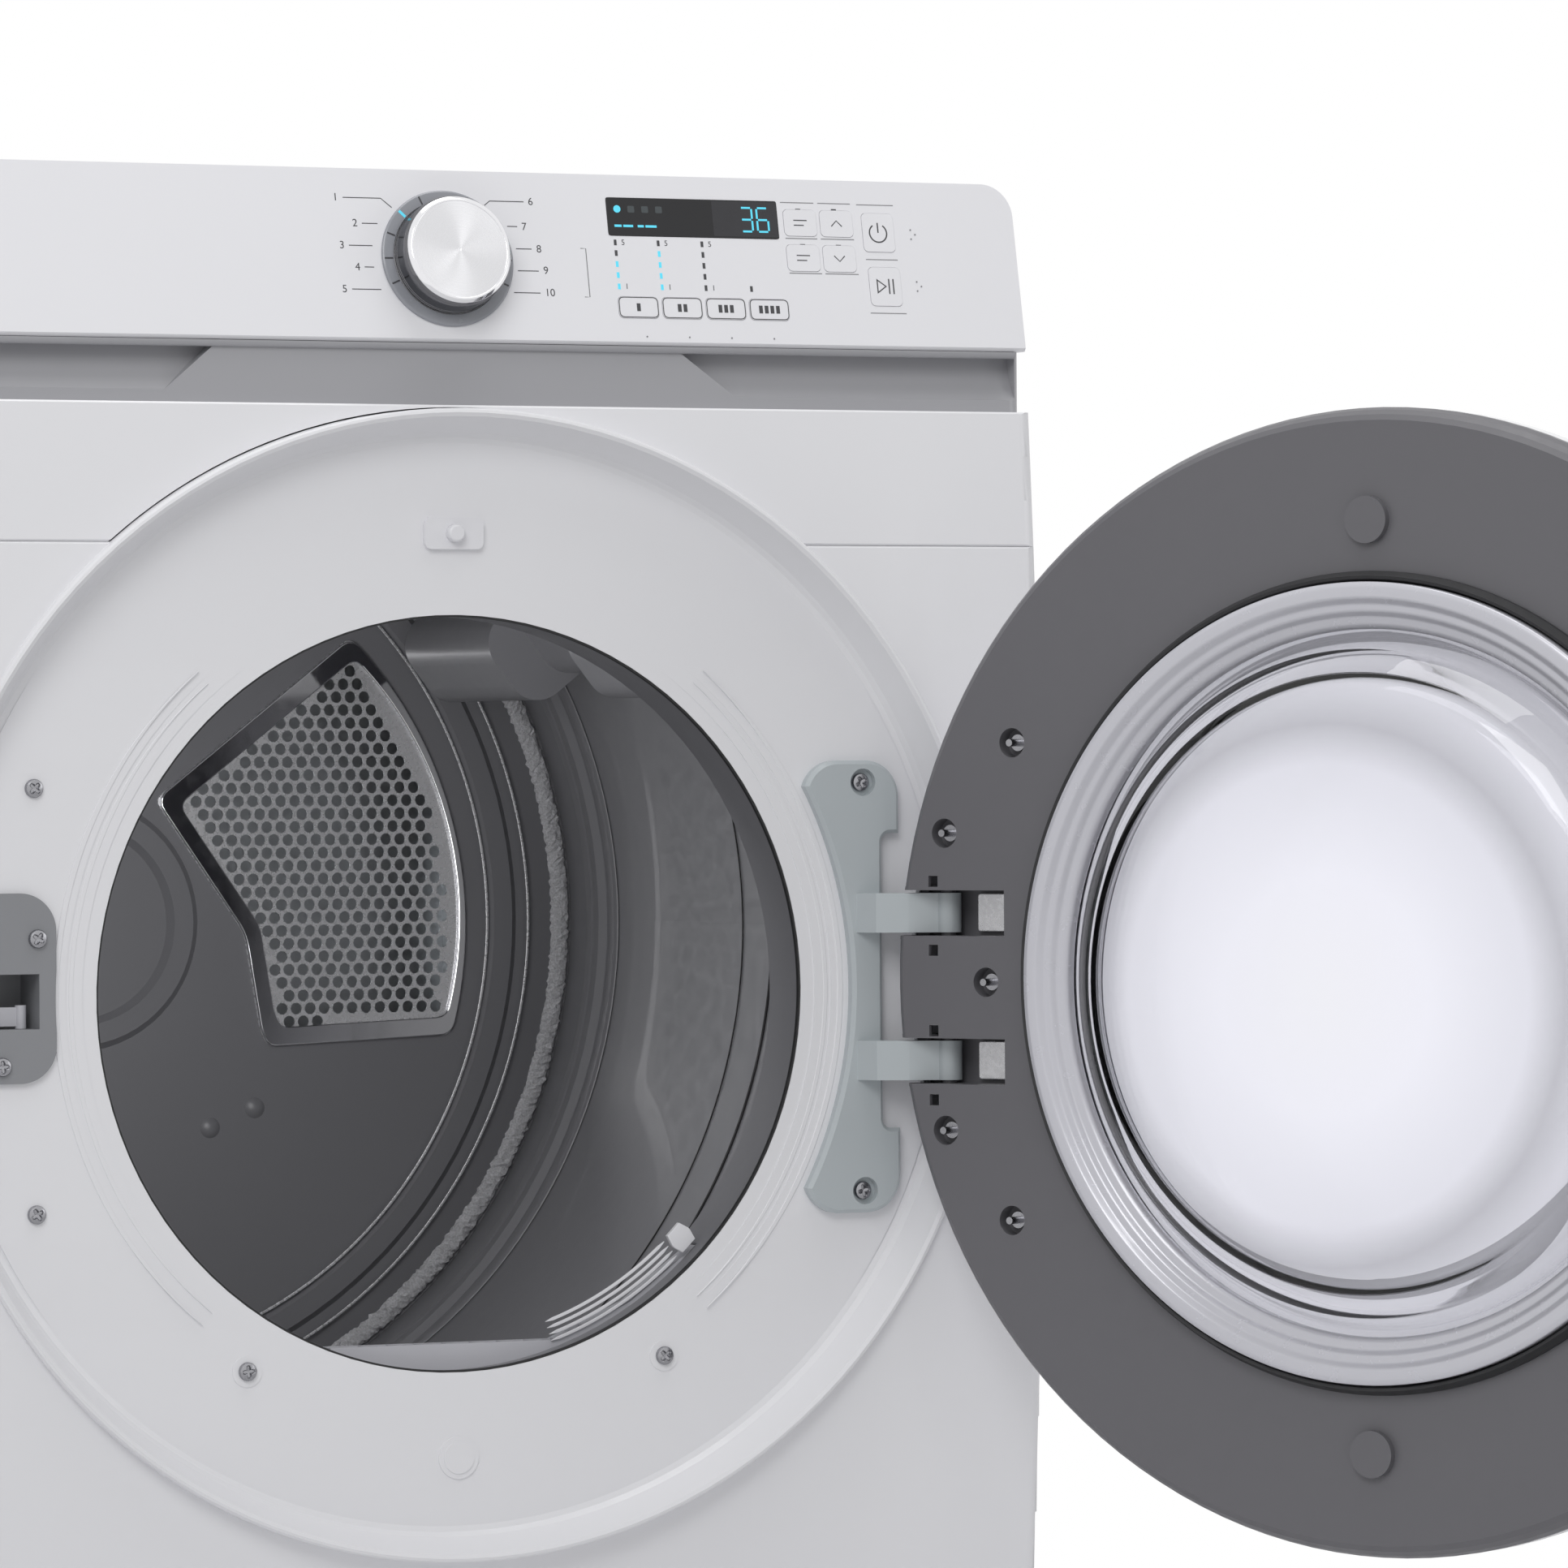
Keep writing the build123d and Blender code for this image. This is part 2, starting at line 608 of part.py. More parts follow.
with BuildPart() as strike_closed:
    face_y = floor_y - door_face
    block(latch_x - 12, latch_x + 12, face_y, face_y + 2, opening_z - 8, opening_z + 16)
    block(latch_x - 4, latch_x + 4, floor_y - door_face, floor_y + 12, opening_z + 1, opening_z + 9)
    block(latch_x - 1.5, latch_x + 6, floor_y + 3, floor_y + 8, opening_z, opening_z + 10, Mode.SUBTRACT)
with BuildPart() as door_strike:
    add(swing(strike_closed.part))
door_strike.part.label = "door_strike"
export_step(door_strike.part, "parts/door_strike.step")

with BuildPart() as screws_closed:
    for x, z in door_wells:
        seat = floor_y - door_face - well_depth
        rod_y(x, door_z + z, 4.5, seat, seat + 3)
        rod_y(x, door_z + z, 2.0, seat - 12, seat)
with BuildPart() as door_screws:
    add(swing(screws_closed.part))
door_screws.part.label = "door_screws"
export_step(door_screws.part, "parts/door_screws.step")

# ---------------------------------------------------------------- drum and bulkheads
filter_y0 = floor_y + 18.5
filter_y1 = bulk_y - 1.5
cap_t = 4.0
cap_x0 = -66.0
cap_x1 = 148.0
seat_r = lip_r - drum_t - running - felt_t
rim_r = drum_r - drum_t - running - felt_t
drum_front = bulk_y + 6.0
drum_rear = rear_bulk_y - 3.0
roller_c = drum_r + roller_r + running
roller_dx = roller_c * math.sin(math.radians(roller_angle))
roller_z = drum_z - roller_c * math.cos(math.radians(roller_angle))

with BuildPart() as front_bulkhead:
    block(-half + sheet, half - sheet, bulk_y, bulk_y + sheet, 225, band_z - 2)
    turn([(opening_r, floor_y + neck), (opening_r + skin, floor_y + neck), (opening_r + skin, bulk_y + 9),
          (opening_r, bulk_y + 9)], 0, opening_z)
    flange = [(seat_r - sheet, bulk_y), (seat_r, bulk_y)]
    flange += [(seat_r, bulk_y + 20), (seat_r - sheet, bulk_y + 20)]
    turn(flange, 0, drum_z)
    rod_y(0, opening_z, opening_r, bulk_y - 1, bulk_y + 5, Mode.SUBTRACT)
    block(cap_x0 - running, cap_x1 + running, filter_y0 - running, filter_y1 + running,
          opening_z - 230, opening_z - 130, Mode.SUBTRACT)
front_bulkhead.part.label = "front_bulkhead"
export_step(front_bulkhead.part, "parts/front_bulkhead.step")

with BuildPart() as rear_bulkhead:
    block(-half + sheet, half - sheet, rear_bulk_y, rear_bulk_y + sheet, 195, 945)
    flange = [(rim_r - sheet, rear_bulk_y - 22), (rim_r, rear_bulk_y - 22)]
    flange += [(rim_r, rear_bulk_y), (rim_r - sheet, rear_bulk_y)]
    turn(flange, 0, drum_z)
    for r in (58, rim_r - 45.5):
        bead = [(r, rear_bulk_y), (r + 4, rear_bulk_y - 4), (r + 16, rear_bulk_y - 4), (r + 20, rear_bulk_y)]
        turn(bead, 0, drum_z)
    for s in (-1, 1):
        rod_y(s * roller_dx, roller_z, axle_r, rear_bulk_y - 30, rear_bulk_y)
        rod_y(s * roller_dx, roller_z, axle_r + 2, rear_bulk_y - 30, rear_bulk_y - 5 - roller_w - running)
    grille_edge = [(243.8, -44.0), (123.0, -49.0), (118.0, -39.0)]
    grille_edge += [(108.0, 20.6), (50.6, 103.0), (178.3, 202.0)]
    with BuildSketch(front(floor_y - rear_bulk_y)):
        with BuildLine():
            Polyline(*grille_edge)
            ThreePointArc(grille_edge[-1], (234.0, 121.0), grille_edge[0])
        make_face()
        offset(amount=-9)
    extrude(amount=5, both=True, mode=Mode.SUBTRACT)
rear_bulkhead.part.label = "rear_bulkhead"
export_step(rear_bulkhead.part, "parts/rear_bulkhead.step")

hole_pitch = 18.0
with BuildPart() as heater_grille:
    with BuildSketch(front(floor_y - rear_bulk_y)):
        with BuildLine():
            Polyline(*grille_edge)
            ThreePointArc(grille_edge[-1], (234.0, 121.0), grille_edge[0])
        make_face()
        for i in range(16):
            for j in range(18):
                x = 60 + hole_pitch * (i + 0.5 * (j % 2))
                z = -60 + hole_pitch * 0.866 * j
                r = math.hypot(x, z - 28)
                if 140 < r < 240 and z > -33 and z - 75 < 0.777 * (x - 50.6) - 18 and x > 122:
                    with Locations((x, z)):
                        RegularPolygon(7, 6, mode=Mode.SUBTRACT)
    extrude(amount=1.2)
heater_grille.part.label = "heater_grille"
export_step(heater_grille.part, "parts/heater_grille.step")

with BuildPart() as heater_housing:
    back = rear_bulk_y + sheet
    block(40, 262, back, back + 54, opening_z - 62, opening_z + 214)
    block(42, 260, back, back + 52, opening_z - 60, opening_z + 212, Mode.SUBTRACT)
    block(150, 230, back + 12, back + 42, opening_z - 70, opening_z - 50, Mode.SUBTRACT)
heater_housing.part.label = "heater_housing"
export_step(heater_housing.part, "parts/heater_housing.step")

with BuildPart() as drum_felts:
    for r, y0, y1 in ((seat_r, drum_front - 1, bulk_y + 18), (rim_r, rear_bulk_y - 20, drum_rear)):
        turn([(r, y0), (r + felt_t, y0), (r + felt_t, y1), (r, y1)], 0, drum_z)
drum_felts.part.label = "drum_felts"
export_step(drum_felts.part, "parts/drum_felts.step")

with BuildPart() as drum_shell:
    outer = [(lip_r - drum_t, bulk_y + 20), (lip_r - drum_t, drum_front)]
    outer += [(drum_r - 8, drum_front), (drum_r, drum_front + 8)]
    inner = [(lip_r, bulk_y + 20), (lip_r, drum_front + drum_t), (drum_r - 8.5, drum_front + drum_t)]
    inner += [(drum_r - drum_t, drum_front + 8.5)]
    for y in (-250, -222, 215):
        groove = [(0, -6), (4, -2), (4, 6), (0, 10)]
        outer += [(drum_r - g, y + dy) for g, dy in groove]
        inner += [(drum_r - drum_t - g, y + dy) for g, dy in groove]
    outer.append((drum_r, drum_rear))
    inner.append((drum_r - drum_t, drum_rear))
    turn(outer + inner[::-1], 0, drum_z)
drum_shell.part.label = "drum_shell"
export_step(drum_shell.part, "parts/drum_shell.step")

baffle_t = 3.0
with BuildPart() as drum_baffles:
    for a in (38, 158, 278):
        for t, mode in ((0, Mode.ADD), (baffle_t, Mode.SUBTRACT)):
            for y0, y1, low in ((-195 + t, -60 - t, 78), (-62 - t, 62 + t, 52), (60 + t, 195 - t, 78)):
                with BuildSketch(Plane.XZ.offset(-y0)):
                    with Locations((0, drum_z)):
                        Circle(drum_r - drum_t - running)
                    with Locations(Location((0, drum_z, 0), (0, 0, a))):
                        with Locations((drum_r, 0)):
                            RectangleRounded(2 * (low - t), 58 - 2 * t, 20 - t, mode=Mode.INTERSECT)
                extrude(amount=y0 - y1, mode=mode)
drum_baffles.part.label = "drum_baffles"
export_step(drum_baffles.part, "parts/drum_baffles.step")

for s, name in ((-1, "rear_roller_left"), (1, "rear_roller_right")):
    with BuildPart() as roller:
        x = s * roller_dx
        y0 = rear_bulk_y - 5 - roller_w
        turn([(axle_r + shaft_gap, y0), (roller_r - 8, y0), (roller_r - 2, y0 + 2), (roller_r, y0 + 4),
              (roller_r, y0 + roller_w - 4), (roller_r - 2, y0 + roller_w - 2), (roller_r - 8, y0 + roller_w),
              (axle_r + shaft_gap, y0 + roller_w)], x, roller_z)
        with BuildSketch(Plane.XZ.offset(-y0)):
            with Locations((x, roller_z)):
                with PolarLocations(17, 5):
                    Circle(4.5)
        extrude(amount=-roller_w, mode=Mode.SUBTRACT)
    roller.part.label = name
    export_step(roller.part, "parts/" + name + ".step")

with BuildPart() as lint_filter:
    with BuildSketch(front(floor_y - filter_y1)):
        with BuildLine():
            top = [(cap_x0, 14.2 - opening_r), (65, 14.2 - opening_r)]
            top += [(108, 33 - opening_r), (cap_x1, 63 - opening_r)]
            Polyline(*top, (cap_x1, -opening_r - 17), (cap_x0, -opening_r - 17), close=True)
        make_face()
        Circle(opening_r + cap_t, mode=Mode.INTERSECT)
        with Locations((40, -258)):
            Rectangle(140, 110)
        with Locations((40, -opening_r - 12)):
            Rectangle(140, 40)
    extrude(amount=filter_y1 - filter_y0)
    mid = (filter_y0 + filter_y1) / 2
    for x in (4, 76):
        for y0, y1 in ((filter_y0 - 1, mid - 0.5), (mid + 0.5, filter_y1 + 1)):
            block(x - 28, x + 28, y0, y1, opening_z - 305, opening_z - opening_r - 24.4, Mode.SUBTRACT)
    for k in range(9):
        x = cap_x0 + 12 + 16 * k
        slot_z = opening_z - opening_r + 6
        block(x, x + 8, filter_y0 + 2, filter_y1 - 2, slot_z, opening_z - 130, Mode.SUBTRACT)
lint_filter.part.label = "lint_filter"
export_step(lint_filter.part, "parts/lint_filter.step")

# ---------------------------------------------------------------- blower, ducts, motor, belt
with BuildPart() as blower_housing:
    y0 = filter_y0 - running
    y1 = filter_y1 + running
    block(-36, 116, y0 - 2, bulk_y, 213, opening_z - 120)
    block(-36, 240, y0 - 2, blower_front, 60, 215)
    rod_y(motor_x, motor_z, blower_r, blower_front, blower_back)
    block(duct_x - 57, motor_x, blower_front, blower_back, duct_z - 57, duct_z + 57)
    block(-34, 238, y0, blower_front - 2, 62, 213, Mode.SUBTRACT)
    block(-34, 114, y0, y1, 200, opening_z - 100, Mode.SUBTRACT)
    rod_y(0, opening_z, opening_r + cap_t + running, y0 - 9, bulk_y + 9, Mode.SUBTRACT)
    rod_y(motor_x, motor_z, blower_r - 2, blower_front + 2, blower_back - 2, Mode.SUBTRACT)
    block(duct_x - 55, motor_x, blower_front + 2, blower_back - 2, duct_z - 55, duct_z + 55, Mode.SUBTRACT)
    rod_y(motor_x, motor_z, 50, blower_front - 9, blower_front + 9, Mode.SUBTRACT)
    rod_y(motor_x, motor_z, shaft_r + 3, blower_back - 9, blower_back + 9, Mode.SUBTRACT)
    rod_y(duct_x, duct_z, duct_r - duct_wall, blower_back - 9, blower_back + 9, Mode.SUBTRACT)
blower_housing.part.label = "blower_housing"
export_step(blower_housing.part, "parts/blower_housing.step")

wheel_back = blower_back - 8.0
wheel_front = blower_front + 8.0
with BuildPart() as blower_wheel:
    rod_y(motor_x, motor_z, 84, wheel_back - 2, wheel_back)
    rod_y(motor_x, motor_z, 14, wheel_back - 30, wheel_back)
    with BuildSketch(Plane.XZ.offset(-wheel_front)):
        with Locations((motor_x, motor_z)):
            with PolarLocations(69, 16):
                Rectangle(26, 2, rotation=25)
            Circle(82)
            Circle(79, mode=Mode.SUBTRACT)
    extrude(amount=wheel_front - wheel_back)
    rod_y(motor_x, motor_z, shaft_r, blower_front, blower_back, Mode.SUBTRACT)
blower_wheel.part.label = "blower_wheel"
export_step(blower_wheel.part, "parts/blower_wheel.step")

belt_r1 = drum_r + running
belt_r2 = pulley_r + running
span = math.hypot(motor_x, drum_z - motor_z)
ux = motor_x / span
uz = (motor_z - drum_z) / span
k = (belt_r1 - belt_r2) / span
side = math.sqrt(1 - k * k)
nx = k * ux + side * uz
nz = k * uz - side * ux
strand_x = 0.25 * belt_r1 * nx + 0.75 * (motor_x + belt_r2 * nx)
strand_z = 0.25 * (drum_z + belt_r1 * nz) + 0.75 * (motor_z + belt_r2 * nz)
idler_x = strand_x + nx * (belt_t + running + idler_r)
idler_z = strand_z + nz * (belt_t + running + idler_r)
pivot_x = idler_x + 45.0
pivot_z = idler_z - 50.0
belt_y0 = belt_y - belt_w / 2
belt_y1 = belt_y + belt_w / 2

core_r = 34.0
with BuildPart() as motor_body:
    half_case = [(30, -118), (34, -110), (motor_r - 6, -104), (motor_r, -96), (motor_r, 84)]
    half_case += [(motor_r - 6, 92), (34, 98), (30, 106), (shaft_r + shaft_gap, 106)]
    turn([(shaft_r + shaft_gap, -118)] + half_case, motor_x, motor_z)
    block(motor_x - 50, motor_x + 50, -60, 60, base_z + 2, base_z + 6)
    for y in (-56, 52):
        block(motor_x - 45, motor_x + 45, y, y + 4, base_z + 2, motor_z - 44)
    turn([(core_r + 2, -98), (motor_r - 8, -98), (motor_r - 4, -92), (motor_r - 4, -45), (core_r + 2, -45)],
         motor_x, motor_z, Mode.SUBTRACT)
    turn([(core_r + 2, 45), (motor_r - 4, 45), (motor_r - 4, 80), (motor_r - 8, 86), (core_r + 2, 86)],
         motor_x, motor_z, Mode.SUBTRACT)
    rod_y(motor_x, motor_z, core_r + 2.5, -98, 86, Mode.SUBTRACT)
    rod_y(motor_x, motor_z, shaft_r + shaft_gap, -130, 130, Mode.SUBTRACT)
    block(pivot_x - 12, pivot_x + 14, belt_y1 + 8, belt_y1 + 12, base_z + 2, pivot_z + 10)
    block(motor_x - 50, pivot_x + 14, 50, belt_y1 + 12, base_z + 2, base_z + 6)
    rod_y(pivot_x, pivot_z, 5, belt_y1 + 1, belt_y1 + 8)
motor_body.part.label = "motor_body"
export_step(motor_body.part, "parts/motor_body.step")

with BuildPart() as motor_rotor:
    rod_y(motor_x, motor_z, shaft_r, blower_front + 10, belt_y1 + 4)
    rod_y(motor_x, motor_z, core_r, -46, 46)
    rod_y(motor_x, motor_z, pulley_r, belt_y0 - 1, belt_y1 + 1)
    rod_y(motor_x, motor_z, pulley_r + 3.5, belt_y0 - 3, belt_y0 - 1)
    rod_y(motor_x, motor_z, pulley_r + 3.5, belt_y1 + 1, belt_y1 + 3)
motor_rotor.part.label = "motor_rotor"
export_step(motor_rotor.part, "parts/motor_rotor.step")

with BuildPart() as drive_belt:
    for t, mode in ((belt_t, Mode.ADD), (0, Mode.SUBTRACT)):
        with BuildSketch(Plane.XZ.offset(-belt_y0)):
            with Locations((0, drum_z)):
                Circle(belt_r1 + t)
            with Locations((motor_x, motor_z)):
                Circle(belt_r2 + t)
            make_hull()
        extrude(amount=-belt_w, mode=mode)
drive_belt.part.label = "drive_belt"
export_step(drive_belt.part, "parts/drive_belt.step")

with BuildPart() as idler_arm:
    with BuildSketch(Plane.XZ.offset(-belt_y1 - 2)):
        with Locations((idler_x, idler_z)):
            Circle(9)
        with Locations((pivot_x, pivot_z)):
            Circle(9)
        make_hull()
    extrude(amount=-5)
    rod_y(pivot_x, pivot_z, 5 + shaft_gap, belt_y1, belt_y1 + 9, Mode.SUBTRACT)
    rod_y(idler_x, idler_z, 5, belt_y0, belt_y1 + 3)
idler_arm.part.label = "idler_arm"
export_step(idler_arm.part, "parts/idler_arm.step")

with BuildPart() as idler_pulley:
    rod_y(idler_x, idler_z, idler_r, belt_y0, belt_y1 + 1)
    rod_y(idler_x, idler_z, 5 + shaft_gap, belt_y0 - 1, belt_y1 + 2, Mode.SUBTRACT)
idler_pulley.part.label = "idler_pulley"
export_step(idler_pulley.part, "parts/idler_pulley.step")

with BuildPart() as exhaust_duct:
    flange = [(duct_r - duct_wall, blower_back), (duct_r + 5, blower_back), (duct_r + 5, blower_back + 2)]
    bead = [(duct_r, rear_y), (duct_r + 1.5, rear_y), (duct_r + 1.5, rear_y + 1.5), (duct_r, rear_y + 1.5)]
    mouth = [(duct_r, rear_y + duct_out), (duct_r - duct_wall, rear_y + duct_out)]
    turn(flange + [(duct_r, blower_back + 2)] + bead + mouth, duct_x, duct_z)
exhaust_duct.part.label = "exhaust_duct"
export_step(exhaust_duct.part, "parts/exhaust_duct.step")

with BuildPart() as terminal_cover:
    y0 = rear_y - sheet
    block(term_x - 36, term_x + 36, y0, y0 + 20, term_z - 30, term_z + 30)
    block(term_x - 34, term_x + 34, y0, y0 + 18, term_z - 28, term_z + 28, Mode.SUBTRACT)
    rod_z(term_x, y0 + 9, 7, term_z - 35, term_z - 20, Mode.SUBTRACT)
terminal_cover.part.label = "terminal_cover"
export_step(terminal_cover.part, "parts/terminal_cover.step")

for x, y, name in ((-foot_x, foot_front, "foot_front_left"), (foot_x, foot_front, "foot_front_right"),
                   (-foot_x, foot_rear, "foot_rear_left"), (foot_x, foot_rear, "foot_rear_right")):
    with BuildPart() as foot:
        rod_z(x, y, 21, 0, 6)
        rod_z(x, y, 17, 6, 11)
        with BuildSketch(Plane.XY.offset(11)):
            with Locations((x, y)):
                RegularPolygon(13, 6)
        extrude(amount=base_z - 17)
        rod_z(x, y, stud_r, 11, base_z + 30)
    foot.part.label = name
    export_step(foot.part, "parts/" + name + ".step")
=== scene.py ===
import json
import math
import random

import bmesh
import bpy
from mathutils import Matrix, Vector


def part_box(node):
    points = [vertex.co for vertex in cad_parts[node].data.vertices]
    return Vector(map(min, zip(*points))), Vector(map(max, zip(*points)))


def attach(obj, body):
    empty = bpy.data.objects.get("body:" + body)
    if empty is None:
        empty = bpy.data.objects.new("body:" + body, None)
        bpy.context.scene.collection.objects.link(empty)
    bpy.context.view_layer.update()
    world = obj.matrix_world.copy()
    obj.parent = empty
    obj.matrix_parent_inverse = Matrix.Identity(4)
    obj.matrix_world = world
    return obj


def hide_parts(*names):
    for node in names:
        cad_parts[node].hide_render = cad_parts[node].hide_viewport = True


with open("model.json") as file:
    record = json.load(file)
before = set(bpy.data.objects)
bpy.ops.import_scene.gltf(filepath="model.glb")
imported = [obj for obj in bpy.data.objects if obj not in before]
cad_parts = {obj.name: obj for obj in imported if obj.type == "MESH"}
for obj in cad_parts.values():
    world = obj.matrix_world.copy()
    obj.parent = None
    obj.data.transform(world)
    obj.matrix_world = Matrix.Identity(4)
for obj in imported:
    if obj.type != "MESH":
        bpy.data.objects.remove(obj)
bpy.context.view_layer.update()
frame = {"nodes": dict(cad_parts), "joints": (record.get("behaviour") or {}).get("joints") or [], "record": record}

MM = 0.001
joints = {j["name"]: j for j in frame["joints"]}
nodes = frame["nodes"]


# ---------------------------------------------------------------- places, from the frame
screw_boss = 0.6
recess_depth = 22.0
front_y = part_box("front_panel")[0].y / MM + screw_boss
floor_y = front_y + recess_depth
opening_z = 538.0
opening_r = 203.6
door_z = opening_z + 5.0
door_joint = joints["door_hinge"]
hinge_pivot = Vector(door_joint["pos_m"])
door_swing = -door_joint["range_deg"][0]
drum_z = joints["drum_spin"]["pos_m"][2] / MM
dial_pos = Vector(joints["dial_turn"]["pos_m"])
dial_axis = Vector(joints["dial_turn"]["axis"])
lean = math.atan2(dial_axis.z, -dial_axis.y)
lip_z = opening_z + 350.0
lip_back = 22.0
lip_y = front_y + lip_back
dial_x = dial_pos.x / MM
dial_s = 46.5  # up the leaning panel from its lower lip


def basis(origin, z_dir):
    """A place at origin (mm) whose Z is z_dir, with X along the cabinet's width."""
    z = Vector(z_dir).normalized()
    x = Vector((1, 0, 0))
    y = z.cross(x)
    m = Matrix((x, y, z)).transposed().to_4x4()
    m.translation = Vector(origin) * MM
    return m


swing = Matrix.Translation(hinge_pivot) @ Matrix.Rotation(math.radians(door_swing), 4, "Z")
swing = swing @ Matrix.Translation(-hinge_pivot)
recess = basis((0, floor_y, opening_z), (0, -1, 0))
recess_at_door = basis((0, floor_y, door_z), (0, -1, 0))
door = swing @ recess_at_door
drum = basis((0, 0, drum_z), (0, -1, 0))
panel = basis((0, lip_y, lip_z), dial_axis)


# ---------------------------------------------------------------- materials
def node_material(name):
    m = bpy.data.materials.new(name)
    m.use_nodes = True
    tree = m.node_tree
    return m, tree, tree.nodes["Principled BSDF"]


def link(tree, a, b):
    tree.links.new(a, b)


def noise(tree, scale, detail=4.0):
    coords = tree.nodes.new("ShaderNodeTexCoord")
    tex = tree.nodes.new("ShaderNodeTexNoise")
    tex.inputs["Scale"].default_value = scale
    tex.inputs["Detail"].default_value = detail
    link(tree, coords.outputs["Object"], tex.inputs["Vector"])
    return tex.outputs["Fac"]


def spread(tree, fac, low, high):
    """A noise's middle range stretched to run from low to high."""
    ramp = tree.nodes.new("ShaderNodeMapRange")
    ramp.inputs["From Min"].default_value = 0.3
    ramp.inputs["From Max"].default_value = 0.7
    ramp.inputs["To Min"].default_value = low
    ramp.inputs["To Max"].default_value = high
    link(tree, fac, ramp.inputs["Value"])
    return ramp.outputs["Result"]


def surface(name, color, rough=0.4, metal=0.0, vary=0.03, scale=18.0, rough_vary=0.06,
            bump=0.05, bump_scale=900.0, depth=0.00005, coat=0.0):
    """An opaque material with slight changes of colour, roughness and relief."""
    m, tree, bsdf = node_material(name)
    mix = tree.nodes.new("ShaderNodeMix")
    mix.data_type = "RGBA"
    mix.inputs["A"].default_value = (*[c * (1 - vary) for c in color], 1)
    mix.inputs["B"].default_value = (*[min(1, c * (1 + vary)) for c in color], 1)
    broad = noise(tree, scale)
    link(tree, broad, mix.inputs["Factor"])
    link(tree, mix.outputs["Result"], bsdf.inputs["Base Color"])
    fine = noise(tree, scale * 6)
    link(tree, spread(tree, fine, rough - rough_vary, rough + rough_vary), bsdf.inputs["Roughness"])
    relief = tree.nodes.new("ShaderNodeBump")
    relief.inputs["Strength"].default_value = bump
    relief.inputs["Distance"].default_value = depth
    link(tree, noise(tree, bump_scale, 2.0), relief.inputs["Height"])
    link(tree, relief.outputs["Normal"], bsdf.inputs["Normal"])
    bsdf.inputs["Metallic"].default_value = metal
    bsdf.inputs["Coat Weight"].default_value = coat
    return m


def clear(name, color, rough, ior, alpha_tint):
    """A see-through material."""
    m, tree, bsdf = node_material(name)
    bsdf.inputs["Transmission Weight"].default_value = 1.0
    bsdf.inputs["IOR"].default_value = ior
    mix = tree.nodes.new("ShaderNodeMix")
    mix.data_type = "RGBA"
    mix.inputs["A"].default_value = (*color, 1)
    mix.inputs["B"].default_value = (*[c * alpha_tint for c in color], 1)
    link(tree, noise(tree, 6.0), mix.inputs["Factor"])
    link(tree, mix.outputs["Result"], bsdf.inputs["Base Color"])
    link(tree, spread(tree, noise(tree, 30.0), rough, rough + 0.02), bsdf.inputs["Roughness"])
    return m


def lit(name, color, strength):
    """A glowing material for lamps and lit figures."""
    m, tree, bsdf = node_material(name)
    bsdf.inputs["Base Color"].default_value = (*[c * 0.3 for c in color], 1)
    bsdf.inputs["Emission Strength"].default_value = strength
    mix = tree.nodes.new("ShaderNodeMix")
    mix.data_type = "RGBA"
    mix.inputs["A"].default_value = (*color, 1)
    mix.inputs["B"].default_value = (*[c * 0.8 for c in color], 1)
    link(tree, noise(tree, 400.0), mix.inputs["Factor"])
    link(tree, mix.outputs["Result"], bsdf.inputs["Emission Color"])
    return m


